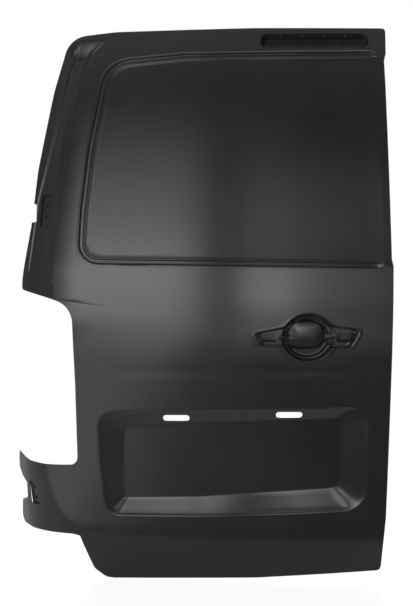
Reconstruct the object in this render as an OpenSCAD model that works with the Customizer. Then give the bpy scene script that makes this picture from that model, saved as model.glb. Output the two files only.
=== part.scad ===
// Left rear barn door of a mid-size panel van: a bare pressed-steel shell with a
// closed window blank, in black electro-coat primer, before any fitting goes on.
// X runs across the van to the free edge, Y into the van, Z up, in millimetres.
// Inside this file x is measured from the middle of the door and z from its mid
// height. set_on_hinge() then moves every piece so that the origin lies on the
// face of the lower hinge seat.

/* [Panel form] */
// Free edge, right of the middle of the door
edge_x = 468; // [455:1:475]
// Top edge above mid height
top_z = 720; // [712:1:740]
// Bottom edge below mid height
bottom_z = -730; // [-745:1:-722]
// Height of the waist bead under the window blank
waist_z = 95; // [88:1:102]
// Height of the body crease under the handle
crease_z = -174; // [-180:1:-168]
// Slope of the window blank at the waist
lean = 0.10; // [0.08:0.005:0.12]
// Slope of the lower panel under the crease
tuck = 0.137; // [0.12:0.001:0.15]
// Radius of the crown across the van
crown_r = 10500; // [9000:100:14000]
// Radius of the corner where the panel wraps round the van
corner_r = 220; // [205:1:240]
// Steepest angle of the wrapped corner
corner_angle = 55; // [50:0.5:58]
// Start of the corner at the tail lamp, from the middle of the door
corner_x = -332; // [-334:0.5:-326]
// Thickness of the outer sheet
skin_t = 1.4; // [1.2:0.1:1.6]
// Thickness of the inner sheet
inner_t = 1.2; // [1:0.1:1.4]
// Gap that the sealant fills between two sheets
seam = 0.5; // [0.3:0.05:0.7]

/* [Window blank] */
// Depth of the pressed bead round the blank
bead_depth = 4; // [2:0.5:6]
// Width of the bead over its lips
bead_w = 15; // [11:1:18]
// Depth of the blank under the panel round it
blank_sink = 1; // [0:0.25:2]
// Depth of the stepped channel beside the blank
channel_depth = 9; // [4:0.5:12]

/* [Number plate recess] */
// Depth of the recess floor under the panel
recess_depth = 26; // [16:1:32]
// Length of a plate lamp slot
lamp_slot_l = 68; // [60:1:74]
// Height of a plate lamp slot
lamp_slot_h = 16; // [12:1:18]

/* [Handle recess] */
// Depth of the finger bowl
bowl_depth = 30; // [20:1:36]
// Depth of the wings at both sides of the bowl
wing_depth = 12; // [8:1:16]

/* [High-level lamp pocket] */
// Length of the pocket over its round ends
pocket_l = 284; // [260:1:290]
// Height of the pocket
pocket_h = 40; // [32:1:42]
// Depth of the pocket
pocket_d = 26; // [18:1:30]

/* [Hinge seats] */
// Radius of a hinge bolt hole
hinge_hole_r = 4.5; // [4:0.25:5.5]
// Distance between the two bolts of a hinge
hinge_pitch = 30; // [26:1:34]
// Thickness of the hinge reinforcement plates
plate_t = 3; // [2:0.5:4]
// Height of the pad that stands through the opening of the sheet
pad_h = 2.5; // [2:0.5:3]

/* [Hidden] */

// Depth of the inner panel field behind the face of the door.
field_y = 40;

// Middle of the high-level lamp pocket.
pocket_c = [281, 685];

arc_steps = 6;
fine = 48;

// Sampling of the panel: segments along the level seams and down the sides.
n_level = 20;
n_blank_edge = 14;
n_blank_left = 24;
n_band = 10;
n_lower_edge = 14;
n_lamp_edge = 5;
n_ear_root = 9;
n_corner = 7;
n_ear = 11;

seam_upper_z = 12;
seam_lower_z = -205;

// A corner is [x, z, radius, segments to the next main corner]. Corners with no
// segments only shape the side that they lie on.
function unit(v) = v / norm(v);
function turn(a) = (a + 540) % 360 - 180;

function corner_arc(a, p, b, r) =
    r <= 0 ? [for (k = [0 : arc_steps]) p]
    : let (
        u = unit(a - p),
        v = unit(b - p),
        half = acos(max(-1, min(1, u * v))) / 2,
        reach = r / tan(half),
        c = p + unit(u + v) * r / sin(half),
        s = p + u * reach - c,
        e = p + v * reach - c,
        start = atan2(s[1], s[0]),
        sweep = turn(atan2(e[1], e[0]) - start)
    )
    [for (k = [0 : arc_steps])
        let (a = start + sweep * k / arc_steps)
        c + r * [cos(a), sin(a)]];

function at(c) = [c[0], c[1]];
function part_of(list, from, to) = [for (k = [from : 1 : to]) list[k]];
function flat(lists) = [for (l = lists) for (p = l) p];

function arcs_of(corners) =
    let (n = len(corners))
    [for (i = [0 : n - 1])
        corner_arc(at(corners[(i + n - 1) % n]), at(corners[i]), at(corners[(i + 1) % n]), corners[i][2])];

// Sum of the steps along a path, as a running list.
function run_of(path, i = 0, sum = [0]) =
    i >= len(path) - 1 ? sum
    : run_of(path, i + 1, concat(sum, [sum[i] + norm(path[i + 1] - path[i])]));

function point_at(path, run, d) =
    let (
        i = max([for (k = [0 : len(path) - 2]) run[k] <= d + 1e-6 ? k : 0]),
        gap = run[i + 1] - run[i]
    )
    gap < 1e-9 ? path[i + 1] : path[i] + (path[i + 1] - path[i]) * min(1, (d - run[i]) / gap);

// Points along a path, closer together at its ends. The last point is left out
// unless it is asked for.
function spread(path, n, last = 0) =
    let (run = run_of(path), total = run[len(run) - 1])
    [for (k = [0 : n - 1 + last]) point_at(path, run, total * (1 - cos(180 * k / n)) / 2)];

function loop_of(corners) =
    let (
        arcs = arcs_of(corners),
        count = len(corners),
        mid = arc_steps / 2,
        mains = [for (i = [0 : count - 1]) if (corners[i][3] > 0) i]
    )
    flat([for (m = [0 : len(mains) - 1])
        let (
            i = mains[m],
            j = m == len(mains) - 1 ? mains[0] + count : mains[m + 1],
            path = concat(
                part_of(arcs[i], mid, arc_steps),
                flat([for (k = [i + 1 : 1 : j - 1]) arcs[k % count]]),
                part_of(arcs[j % count], 0, mid)
            )
        )
        spread(path, corners[i][3])
    ]);

function side_y(z) =
    z > waist_z ? lean * (z - waist_z) + 0.000083 * pow(z - waist_z, 2)
    : z > crease_z ? 0.000255 * pow(waist_z - z, 2)
    : 0.000255 * pow(waist_z - crease_z, 2) + tuck * (crease_z - z) + 0.000042 * pow(crease_z - z, 2);

function corner_at(z) = corner_x + 0.05 * max(0, z - waist_z);

function plan_y(x, z) =
    let (b = corner_at(z))
    x >= b ? pow(edge_x - x, 2) / (2 * crown_r)
    : let (
        s0 = (edge_x - b) / crown_r,
        yb = pow(edge_x - b, 2) / (2 * crown_r),
        c0 = sqrt(1 - s0 * s0),
        s = s0 + (b - x) / corner_r,
        s1 = sin(corner_angle),
        c1 = cos(corner_angle)
    )
    s <= s1 ? yb + corner_r * (c0 - sqrt(1 - s * s))
    : yb + corner_r * (c0 - c1) + (b - x - corner_r * (s1 - s0)) * tan(corner_angle);

// The line where the main face steps back into the channel, down the left side.
function step_x(z) = lookup(z, [
    [12, -401], [136, -392], [328, -368], [397, -356], [500, -335], [600, -322], [660, -300], [695, -262]
]);

function ramp(t) = let (u = max(0, min(1, t))) u * u * (3 - 2 * u);

// The line where the channel rises again to the rim of the panel.
function rim_x(z) = lookup(z, [
    [12, -470], [60, -466], [138, -455], [269, -438], [400, -405], [520, -378], [600, -362], [690, -330]
]);

step_w = 11;
rim_w = 7;
// Share of the channel's depth that the rim rises again.
rim_rise = 0.5;

function channel_y(x, z) =
    z < seam_upper_z - 30 || x > step_x(z) ? 0
    : channel_depth
        * (ramp((step_x(z) - x) / step_w) - rim_rise * ramp((rim_x(z) - x) / rim_w) * ramp((z - 20) / 60))
        * ramp((top_z - 20 - z) / 60) * ramp((z - seam_upper_z + 30) / 40);

function face_y(x, z) = side_y(z) + plan_y(x, z) + channel_y(x, z);

// Unit normal of the panel, into the van.
function face_n(x, z) =
    let (
        h = 0.5,
        dx = (face_y(x + h, z) - face_y(x - h, z)) / (2 * h),
        dz = (face_y(x, z + h) - face_y(x, z - h)) / (2 * h)
    )
    unit([-dx, 1, -dz]);

// Outline of the panel, seen from behind the van.
foot = [-404, seam_upper_z];
lamp_top = [-337.5, seam_lower_z];
root_top = [-336, -396];
root_bottom = [-335, -616];

blank_border = [
    [foot[0], foot[1], 0, n_level],
    [edge_x, seam_upper_z, 0, n_blank_edge],
    [edge_x, waist_z + 2, 1, 0],
    [edge_x - 4, waist_z + 8, 2, 0],
    [edge_x - 6, 560, 60, 0],
    [edge_x - 7, 630, 2, 0],
    [edge_x - 2, 648, 4, 0],
    [edge_x, top_z - 1, 8, n_level],
    [120, top_z + 2, 400, 0],
    [-240, top_z - 3, 200, 0],
    [-365, top_z - 16, 64, n_blank_left],
    [-405, 560, 400, 0],
    [-445, 351, 300, 0],
    [-451, 268, 5, 0],
    [-445, 256, 5, 0],
    [-447, 212, 4, 0],
    [-459, 208, 4, 0],
    [-488, 60, 100, 0],
    [-490, 36, 7, 0]
];

band_border = [
    [foot[0], foot[1], 0, n_band],
    [-344, -7, 60, 0],
    [lamp_top[0], lamp_top[1], 0, n_level],
    [edge_x - 1, seam_lower_z, 0, n_band],
    [edge_x, seam_upper_z, 0, n_level]
];

plate_border = [
    [edge_x - 1, seam_lower_z, 0, n_level],
    [lamp_top[0], lamp_top[1], 0, n_lamp_edge],
    [root_top[0], root_top[1], 0, n_ear_root],
    [root_bottom[0], root_bottom[1], 0, n_corner],
    [-322, -650, 60, 0],
    [-298, -706, 30, 0],
    [-266, bottom_z, 30, 0],
    [-244, bottom_z - 2, 30, n_level],
    [130, bottom_z + 5, 600, 0],
    [325, bottom_z + 18, 300, 0],
    [457, bottom_z + 28, 12, n_lower_edge],
    [466, -560, 60, 0]
];

// Nested loops carry the pressed forms. Each loop is a list of [x, z] points and
// has the same number of points as its neighbours.
function toward(loop, c, t) = [for (p = loop) p + (c - p) * t];
function mix(a, b, t) = [for (i = [0 : len(a) - 1]) a[i] + (b[i] - a[i]) * t];
function raised(loop, depth) = [for (p = loop) [p[0], face_y(p[0], p[1]) + depth, p[1]]];

function crease_loop() = loop_of([
    [-398, 50, 0, n_level],
    [edge_x - 14, 50, 0, n_blank_edge],
    [edge_x - 14, top_z - 12, 0, n_level],
    [-262, top_z - 25, 24, n_blank_left],
    [-300, 660, 20, 0],
    [-335, 500, 200, 0],
    [-368, 328, 200, 0],
    [-392, 136, 200, 0]
]);

// Line along the rim of the channel, d further out down the hinge side.
function rim_loop(d) = loop_of([
    [-415, 26, 0, n_level],
    [edge_x - 7, 26, 0, n_blank_edge],
    [edge_x - 9, top_z - 6, 0, n_level],
    [-322 - d, 698, 24, n_blank_left],
    [-362 - d, 600, 200, 0],
    [-378 - d, 520, 200, 0],
    [-405 - d, 400, 200, 0],
    [-438 - d, 269, 200, 0],
    [-455 - d, 138, 200, 0],
    [-466 - d, 60, 30, 0],
    [-464 - d, 40, 6, 0]
]);

// Line along the window bead, grown outwards by d and held k steps off the edge.
function bead_loop(d, k) = loop_of([
    [-322 - d, waist_z + 10.5 - d, 46 + d, n_level],
    [edge_x - 16 - 3 * k, waist_z - 2 - d, 0, n_blank_edge],
    [edge_x - 16 - 3 * k, 647 + d, 0, n_level],
    [-60, 646 + d, 300, 0],
    [-259 - d, 628 + d, 75 + d, n_blank_left],
    [-300 - d, 395, 300, 0],
    [-317 - d, 230, 300, 0]
]);

blank_c = [60, 370];

// The bead and the sunk blank run out before the hem of the free edge.
function sunk(loop, depth) =
    [for (p = loop) [p[0], face_y(p[0], p[1]) + depth * ramp((edge_x - 22 - p[0]) / 24), p[1]]];

function blank_loops() =
    let (
        border = loop_of(blank_border),
        crease = crease_loop(),
        rim = rim_loop(0),
        lip = bead_loop(bead_w / 2, 0),
        inner = bead_loop(-bead_w / 2, 3)
    )
    concat(
        [raised(border, 0), raised(rim_loop(rim_w), 0)],
        [for (t = [0, 0.4, 0.8]) raised(mix(rim, crease, t), 0)],
        [
            raised(crease, 0),
            raised(mix(crease, lip, 0.35), 0),
            raised(mix(crease, lip, 0.7), 0),
            raised(lip, 0),
            sunk(bead_loop(bead_w / 5, 1), bead_depth),
            sunk(bead_loop(-bead_w / 5, 2), bead_depth),
            sunk(inner, blank_sink)
        ],
        [for (t = [0.2, 0.5, 0.8]) sunk(toward(inner, blank_c, t), blank_sink)]
    );

handle_c = [256, -88];

function handle_contour() = loop_of([
    [120, -78, 8, n_band],
    [131, -107, 8, n_level],
    [182, -110, 14, 0],
    [214, -150, 28, 0],
    [306, -149, 26, 0],
    [323, -115, 14, 0],
    [370, -110, 10, n_band],
    [394, -60, 9, n_level],
    [330, -56, 14, 0],
    [303, -26, 24, 0],
    [208, -27, 24, 0],
    [184, -58, 14, 0]
]);

// A frame round the handle recess, which keeps the points in step with the contour.
function handle_frame() = loop_of([
    [92, -52, 16, n_band],
    [100, -132, 16, n_level],
    [200, -172, 40, 0],
    [316, -172, 40, 0],
    [404, -134, 16, n_band],
    [420, -44, 16, n_level],
    [312, -4, 40, 0],
    [200, -4, 40, 0]
]);

// Depth of the wings, the bowl between them and the dish in the bowl.
function handle_y(p) =
    let (r = norm(p - handle_c))
    wing_depth + (bowl_depth - wing_depth) * ramp((66 - r) / 16) - 9 * ramp((42 - r) / 34);

function band_loops() =
    let (
        border = loop_of(band_border),
        frame = handle_frame(),
        contour = handle_contour(),
        lip = toward(contour, handle_c, -0.08)
    )
    concat(
        [for (t = [0, 0.1, 0.4, 0.7]) raised(mix(border, frame, t), 0)],
        [raised(frame, 0), raised(lip, 0), raised(contour, 1.5)],
        [for (t = [0.08, 0.22, 0.4, 0.65])
            let (loop = toward(contour, handle_c, t))
            [for (p = loop) [p[0], face_y(p[0], p[1]) + handle_y(p), p[1]]]]
    );

plate_c = [65, -410];

function recess_outer() = loop_of([
    [412, -263, 50, n_level],
    [-280, -279, 45, n_lamp_edge],
    [-276, -400, 0, n_ear_root],
    [-266, -505, 0, n_corner],
    [-259, -557, 38, n_level],
    [-17, -556, 300, 0],
    [243, -547, 200, 0],
    [415, -535, 62, n_lower_edge],
    [414, -420, 200, 0]
]);

function recess_floor() = loop_of([
    [342, -299, 20, n_level],
    [-17, -313, 300, 0],
    [-213, -329, 20, n_lamp_edge],
    [-214, -400, 0, n_ear_root],
    [-216, -480, 0, n_corner],
    [-217, -513, 14, n_level],
    [-17, -507, 300, 0],
    [164, -492, 200, 0],
    [343, -478, 26, n_lower_edge]
]);

function plate_loops() =
    let (
        border = loop_of(plate_border),
        outer = recess_outer(),
        lip = toward(outer, plate_c, -0.03),
        foot_of_wall = recess_floor()
    )
    concat(
        [for (t = [0, 0.1, 0.4, 0.7]) raised(mix(border, lip, t), 0)],
        [
            raised(lip, 0),
            raised(outer, 1),
            raised(mix(outer, foot_of_wall, 0.12), 4),
            raised(mix(outer, foot_of_wall, 0.88), recess_depth - 3),
            raised(foot_of_wall, recess_depth),
            raised(toward(foot_of_wall, plate_c, 0.35), recess_depth),
            raised(toward(foot_of_wall, plate_c, 0.7), recess_depth)
        ]
    );

// The hinge ear, as columns of points from its root to its tip.
ear_top_line = [
    [root_top[0], root_top[1], 0, n_ear],
    [-337, -421, 20, 0],
    [-427, -425, 100, 0],
    [-480, -422, 60, 0],
    [-515, -405, 0, n_ear_root],
    [-518, -448, 20, 0],
    [-505, -474, 10, 0],
    [-489, -488, 6, 0],
    [-488, -530, 8, 0],
    [-509, -542, 8, 0],
    [-512, -590, 30, 0],
    [-503, -606, 0, n_ear],
    [-470, -611, 60, 0],
    [-354, -611, 30, 0],
    [root_bottom[0], root_bottom[1], 0, n_ear_root]
];

function ear_columns() =
    let (
        loop = loop_of(ear_top_line),
        total = len(loop),
        top = [for (i = [0 : n_ear]) loop[i]],
        tip = [for (j = [0 : n_ear_root]) loop[n_ear + j]],
        bottom = [for (i = [0 : n_ear]) loop[2 * n_ear + n_ear_root - i]],
        root = [for (j = [0 : n_ear_root]) loop[(total - j) % total]]
    )
    [for (i = [0 : n_ear])
        let (s = norm(top[i] - top[0]) / norm(top[n_ear] - top[0]))
        [for (j = [0 : n_ear_root])
            let (
                f = (root[0] - root[j])[1] / (root[0] - root[n_ear_root])[1],
                p = i == 0 ? root[j] : i == n_ear ? tip[j] : j == 0 ? top[i] : j == n_ear_root ? bottom[i]
                    : (1 - s) * root[j] + s * tip[j] + (1 - f) * top[i] + f * bottom[i]
                    - (1 - s) * (1 - f) * root[0] - s * (1 - f) * tip[0]
                    - (1 - s) * f * root[n_ear_root] - s * f * tip[n_ear_root]
            )
            [p[0], face_y(p[0], p[1]), p[1]]]];

// Normal at a point of nested loops, and at the border the normal of the face.
function loop_normal(loops, k, i, c) =
    let (n = len(loops[k]), p = loops[k][i])
    k == 0 ? face_n(p[0], p[2])
    : let (
        along = loops[k][(i + 1) % n] - loops[k][(i + n - 1) % n],
        inward = (k == len(loops) - 1 ? c : loops[k + 1][i]) - loops[k - 1][i]
    )
    unit(cross(inward, along));

function tidy(p) = [for (v = p) round(v * 1000) / 1000];

// Front and back points of a patch of nested loops, with its centre last.
function patch_points(loops) =
    [for (k = [0 : len(loops) - 1]) for (i = [0 : len(loops[k]) - 1]) tidy(loops[k][i])];

function patch_back(loops, c, t) =
    [for (k = [0 : len(loops) - 1]) for (i = [0 : len(loops[k]) - 1])
        tidy(loops[k][i] + loop_normal(loops, k, i, c) * t)];

// Two triangles of a square cell, clockwise from outside.
function cell(a, b, c, d) = [[a, b, c], [a, c, d]];

// Faces of both sides of a patch whose points start at s. Back points follow the
// front points and the centre.
function patch_faces(rows, n, s) =
    let (b = s + rows * n + 1, c = rows * n)
    concat(
        flat([for (k = [0 : 1 : rows - 2]) for (i = [0 : n - 1])
            let (o = k * n + i, o1 = k * n + (i + 1) % n)
            concat(cell(s + o, s + o + n, s + o1 + n, s + o1), cell(b + o, b + o1, b + o1 + n, b + o + n))]),
        flat([for (i = [0 : n - 1])
            let (o = (rows - 1) * n + i, o1 = (rows - 1) * n + (i + 1) % n)
            [[s + o, s + c, s + o1], [b + o, b + o1, b + c]]])
    );

// The wall between both sides along the border, from one point to another.
function wall_faces(rows, n, s, from, to) =
    let (b = s + rows * n + 1)
    flat([for (i = [from : 1 : to - 1]) cell(s + i, s + (i + 1) % n, b + (i + 1) % n, b + i)]);

function middle_of(points) =
    let (ones = [for (p = points) 1])
    [for (k = [0 : 2]) [for (p = points) p[k]] * ones / len(points)];

function patch_of(loops, t) =
    let (
        last = loops[len(loops) - 1],
        c = middle_of(last),
        back = patch_back(loops, c, t)
    )
    concat(patch_points(loops), [tidy(c)], back, [tidy(c + [0, t, 0])]);

module outer_sheet() {
    blank = blank_loops();
    band = band_loops();
    plate = plate_loops();
    ear = ear_columns();

    n_a = len(blank[0]);
    n_b = len(band[0]);
    n_c = len(plate[0]);
    pts_a = patch_of(blank, skin_t);
    pts_b = patch_of(band, skin_t);
    pts_c = patch_of(plate, skin_t);
    s_b = len(pts_a);
    s_c = s_b + len(pts_b);
    s_e = s_c + len(pts_c);

    // The ear is a plain grid of columns.
    rows = n_ear_root + 1;
    half = (n_ear + 1) * rows;
    ear_front = [for (col = ear) for (p = col) tidy(p)];
    ear_back = [for (col = ear) for (p = col) tidy(p + face_n(p[0], p[2]) * skin_t)];
    ear_faces = flat([for (i = [0 : n_ear - 1]) for (j = [0 : n_ear_root - 1])
        let (o = s_e + i * rows + j, b = o + half)
        concat(cell(o, o + 1, o + rows + 1, o + rows), cell(b, b + rows, b + rows + 1, b + 1))]);
    ear_wall = concat(
        flat([for (i = [0 : n_ear - 1])
            let (o = s_e + i * rows, b = o + half)
            cell(o, o + rows, b + rows, b)]),
        flat([for (j = [0 : n_ear_root - 1])
            let (o = s_e + n_ear * rows + j, b = o + half)
            cell(o, o + 1, b + 1, b)]),
        flat([for (i = [0 : n_ear - 1])
            let (o = s_e + i * rows + n_ear_root, b = o + half)
            cell(o + rows, o, b, b + rows)])
    );

    root_i = n_level + n_lamp_edge;
    polyhedron(
        points = concat(pts_a, pts_b, pts_c, ear_front, ear_back),
        faces = concat(
            patch_faces(len(blank), n_a, 0),
            wall_faces(len(blank), n_a, 0, n_level, n_a),
            patch_faces(len(band), n_b, s_b),
            wall_faces(len(band), n_b, s_b, 0, n_band),
            wall_faces(len(band), n_b, s_b, n_band + n_level, 2 * n_band + n_level),
            patch_faces(len(plate), n_c, s_c),
            wall_faces(len(plate), n_c, s_c, n_level, root_i),
            wall_faces(len(plate), n_c, s_c, root_i + n_ear_root, n_c),
            ear_faces,
            ear_wall
        ),
        convexity = 12
    );
}

// Flat shapes with exact round corners.
module slot_2d(l, h) {
    square([l - h, h], center = true);
    for (side = [-1, 1]) translate([side * (l - h) / 2, 0]) circle(d = h, $fn = fine);
}

module round_rect_2d(w, h, r) {
    square([w - 2 * r, h], center = true);
    square([w, h - 2 * r], center = true);
    for (a = [-1, 1]) for (b = [-1, 1])
        translate([a * (w / 2 - r), b * (h / 2 - r)]) circle(r = r, $fn = fine);
}

// Stands a flat shape up at x, z and runs it through from y to y + d.
module through(x, z, y, d) {
    translate([x, y + d, z]) rotate([90, 0, 0]) linear_extrude(d) children();
}

// Holds children in the frame of a hinge seat: its face is y = 0, facing -y.
lower_seat = [-464, -510];
lower_seat_turn = 46;
lower_seat_tilt = 9;
lower_seat_sink = 4.5;
upper_seat = [-418, 238];
upper_seat_turn = 34;
upper_seat_tilt = -7;
upper_seat_sink = 3.5;

// Openings of the outer sheet in front of the seats: width, height and radius.
lower_opening = [36, 62, 6];
upper_opening = [34, 84, 8];

function seat_point(p, a, sink) = [p[0], face_y(p[0], p[1]), p[1]] + sink * [sin(a), cos(a), 0];

module at_seat(p, a, tilt, sink) {
    translate(seat_point(p, a, sink)) rotate([0, 0, -a]) rotate([tilt, 0, 0]) children();
}

module at_lower_seat() {
    at_seat(lower_seat, lower_seat_turn, lower_seat_tilt, lower_seat_sink) children();
}

module at_upper_seat() {
    at_seat(upper_seat, upper_seat_turn, upper_seat_tilt, upper_seat_sink) children();
}

module set_on_hinge() {
    translate(-seat_point(lower_seat, lower_seat_turn, lower_seat_sink)) children();
}

module seat_opening(o) {
    through(0, 0, -40, 60) round_rect_2d(o[0], o[1], o[2]);
}

module hinge_bores(reach) {
    for (side = [-1, 1])
        translate([0, 0, side * hinge_pitch / 2]) rotate([90, 0, 0])
            cylinder(r = hinge_hole_r, h = reach, center = true, $fn = fine);
}

module outer_skin() {
    color([0.09, 0.09, 0.1])
    set_on_hinge()
    difference() {
        outer_sheet();
        through(pocket_c[0], pocket_c[1], 40, 120) slot_2d(pocket_l, pocket_h);
        through(-78, -296.5, 0, 120) slot_2d(lamp_slot_l, lamp_slot_h);
        through(212, -287, 0, 120) slot_2d(lamp_slot_l, lamp_slot_h);
        through(160, -89, -20, 80) round_rect_2d(40, 20, 6);
        through(351, -87, -20, 80) round_rect_2d(46, 24, 6);
        at_lower_seat() seat_opening(lower_opening);
        at_upper_seat() seat_opening(upper_opening);
    }
}

// The inner panel is built in level rows. Its sides stand in from the outline by
// the hem of the outer sheet.
inner_rows = [
    -692, -684, -678, -640, -600, -560, -500, -440, -380, -320, -260, -205, -170, -140, -110, -80, -50, -20,
    0, 8, 14, 20, 28, 50, 75, 95, 120, 160, 200, 250, 300, 350, 400, 450, 500, 550, 600, 640, 668, 690,
    696, 706
];
flange_w = 12;
wall_w = 5;
n_field = 7;

function inner_left(z) = lookup(z, [
    [-692, -236], [-684, -266], [-660, -300], [-610, -325], [0, -326], [8, -332], [14, -352], [20, -372],
    [28, -382], [136, -378], [328, -354], [500, -320], [655, -286], [690, -250], [706, -226]
]);
function inner_right(z) = lookup(z, [
    [-692, 446], [-560, 456], [95, 458], [110, 454], [560, 452], [706, 456]
]);
function inner_drop(x, z) = -26 * ramp((330 - x) / 260) * ramp((-500 - z) / 170);

// Stand-off of the flange where the outer sheet turns the corner.
function corner_gap(x) = 1.3 * ramp((corner_x + 20 - x) / 14);

// Stand-off of the flange where the ends of the bead run out to the free edge.
function bead_gap(x, z) = x > 400 && (abs(z - 95) < 60 || abs(z - 650) < 30) ? 0.5 : 0;

function inner_columns(z) =
    let (l = inner_left(z) + flange_w + wall_w, r = inner_right(z) - flange_w - wall_w)
    concat(
        [l - flange_w - wall_w, l - wall_w],
        [for (i = [0 : n_field]) l + (r - l) * i / n_field],
        [r + wall_w, r + wall_w + flange_w]
    );

function inner_row(k) =
    let (
        z = inner_rows[k],
        last = len(inner_rows) - 1,
        xs = inner_columns(z),
        flat_row = k < 2 || k > last - 2
    )
    [for (i = [0 : len(xs) - 1])
        let (
            x = xs[i],
            h = z + inner_drop(x, z),
            flange = flat_row || i < 2 || i > len(xs) - 3
        )
        flange ? [x, face_y(x, h), h] + (skin_t + seam + corner_gap(x) + bead_gap(x, h)) * face_n(x, h)
        : [x, face_y(x, h) + field_y, h]];

module inner_sheet() {
    rows = [for (k = [0 : len(inner_rows) - 1]) inner_row(k)];
    m = len(rows[0]);
    n = len(rows);
    front = [for (row = rows) for (p = row) tidy(p)];
    back = [for (k = [0 : n - 1]) for (i = [0 : m - 1])
        let (
            across = rows[k][min(i + 1, m - 1)] - rows[k][max(i - 1, 0)],
            up = rows[min(k + 1, n - 1)][i] - rows[max(k - 1, 0)][i]
        )
        tidy(rows[k][i] + inner_t * unit(cross(up, across)))];
    b = n * m;
    polyhedron(
        points = concat(front, back),
        faces = concat(
            flat([for (k = [0 : n - 2]) for (i = [0 : m - 2])
                let (o = k * m + i)
                concat(cell(o, o + m, o + m + 1, o + 1), cell(b + o, b + o + 1, b + o + m + 1, b + o + m))]),
            flat([for (i = [0 : m - 2]) let (o = i, q = (n - 1) * m + i)
                concat(cell(o, o + 1, b + o + 1, b + o), cell(q + 1, q, b + q, b + q + 1))]),
            flat([for (k = [0 : n - 2]) let (o = k * m, q = k * m + m - 1)
                concat(cell(o + m, o, b + o, b + o + m), cell(q, q + m, b + q + m, b + q))])
        ),
        convexity = 10
    );
}

// Places of the locks and of the check strap.
upper_lock = [385, 628];
lower_lock = [400, -634];
strap = [-280, -30];
lock_pitch = 48;
strap_pitch = 30;
small_hole_r = 3.5;
lock_bolt_r = 9;

// Two screw holes and, between them, the hole for the bolt of the lock.
module lock_holes(p) {
    for (side = [-1, 1])
        through(p[0] + side * lock_pitch / 2, p[1], 40, 160) circle(r = small_hole_r, $fn = fine);
    through(p[0], p[1], 40, 160) circle(r = lock_bolt_r, $fn = fine);
}

module strap_holes() {
    for (side = [-1, 1])
        through(strap[0], strap[1] + side * strap_pitch / 2, 20, 140) circle(r = small_hole_r, $fn = fine);
}

module inner_panel() {
    color([0.13, 0.13, 0.14])
    set_on_hinge()
    difference() {
        inner_sheet();
        through(70, 375, 20, 180) round_rect_2d(620, 440, 40);
        through(pocket_c[0], pocket_c[1], 60, 120) slot_2d(pocket_l + 24, pocket_h + 20);
        through(255, -86, 20, 120) round_rect_2d(130, 130, 30);
        through(-120, -80, 20, 140) round_rect_2d(280, 150, 40);
        through(-90, -400, 30, 160) round_rect_2d(280, 260, 40);
        through(240, -400, 30, 160) round_rect_2d(300, 260, 40);
        for (x = [-120, 255]) through(x, -640, 30, 160) slot_2d(160, 50);
        lock_holes(upper_lock);
        lock_holes(lower_lock);
        strap_holes();
    }
}

// A strip of sheet that follows the side of the door from z0 to z1, w wide.
module side_strip(z0, z1, w, off, t, steps = 10) {
    zs = [for (k = [0 : steps]) z0 + (z1 - z0) * k / steps];
    translate([-w / 2, 0, 0]) rotate([90, 0, 90]) linear_extrude(w)
        polygon(concat(
            [for (z = zs) [side_y(z) + off, z]],
            [for (k = [steps : -1 : 0]) [side_y(zs[k]) + off + t, zs[k]]]
        ));
}

// Sets children on the panel at x, turned to its crown there.
module on_crown(x) {
    translate([x, pow(edge_x - x, 2) / (2 * crown_r), 0])
        rotate([0, 0, -atan((edge_x - x) / crown_r)]) children();
}

rail_fine = 3000;
rail_w = 44;
rail_lip = 14;
mastic = 3;
// Heights between which the stiffeners stand behind the window blank.
upright_z = [126, 624];

module hat_upright(x, z0, z1) {
    front = 1 + skin_t + mastic;
    back = field_y - seam - inner_t;
    on_crown(x) {
        side_strip(z0, z1, rail_w, front, inner_t);
        for (side = [-1, 1]) {
            translate([side * (rail_w - inner_t) / 2, 0, 0])
                side_strip(z0, z1, inner_t, front, back - front + inner_t);
            translate([side * (rail_w + rail_lip) / 2, 0, 0])
                side_strip(z0, z1, rail_lip + 0.5, back, inner_t);
        }
    }
}

module blank_stiffener_left() {
    color([0.15, 0.15, 0.16])
    set_on_hinge() hat_upright(-70, upright_z[0], upright_z[1]);
}

module blank_stiffener_right() {
    color([0.15, 0.15, 0.16])
    set_on_hinge() hat_upright(215, upright_z[0], upright_z[1]);
}

// A level rail along the crown, from x0 to x1. Its section is a list of [y, z].
module crown_rail(x0, x1, section) {
    a0 = asin((edge_x - x0) / crown_r);
    a1 = asin((edge_x - x1) / crown_r);
    translate([edge_x, crown_r, 0]) rotate([0, 0, -90 - a0])
        rotate_extrude(angle = a0 - a1, $fn = rail_fine)
            polygon([for (p = section) [crown_r - p[0], p[1]]]);
}

function hat_section(z0, z1, lip, front, back, t) = [
    [side_y(z0) + back, z0], [side_y(z0) + back, z0 + lip],
    [side_y(z0 + lip) + front, z0 + lip + 4], [side_y(z1 - lip) + front, z1 - lip - 4],
    [side_y(z1) + back, z1 - lip], [side_y(z1) + back, z1],
    [side_y(z1) + back + t, z1], [side_y(z1) + back + t, z1 - lip - t],
    [side_y(z1 - lip) + front + t, z1 - lip - 4 - t], [side_y(z0 + lip) + front + t, z0 + lip + 4 + t],
    [side_y(z0) + back + t, z0 + lip + t], [side_y(z0) + back + t, z0]
];

module waist_rail() {
    color([0.15, 0.15, 0.16])
    set_on_hinge()
    crown_rail(-290, 425, hat_section(14, 78, 12, skin_t + mastic, field_y - seam - inner_t - 1, inner_t));
}

module header_rail() {
    color([0.15, 0.15, 0.16])
    set_on_hinge()
    crown_rail(-200, 120, hat_section(
        652, 684, 8, skin_t + mastic + 1, field_y - seam - inner_t - 2.3, inner_t
    ));
}

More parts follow.
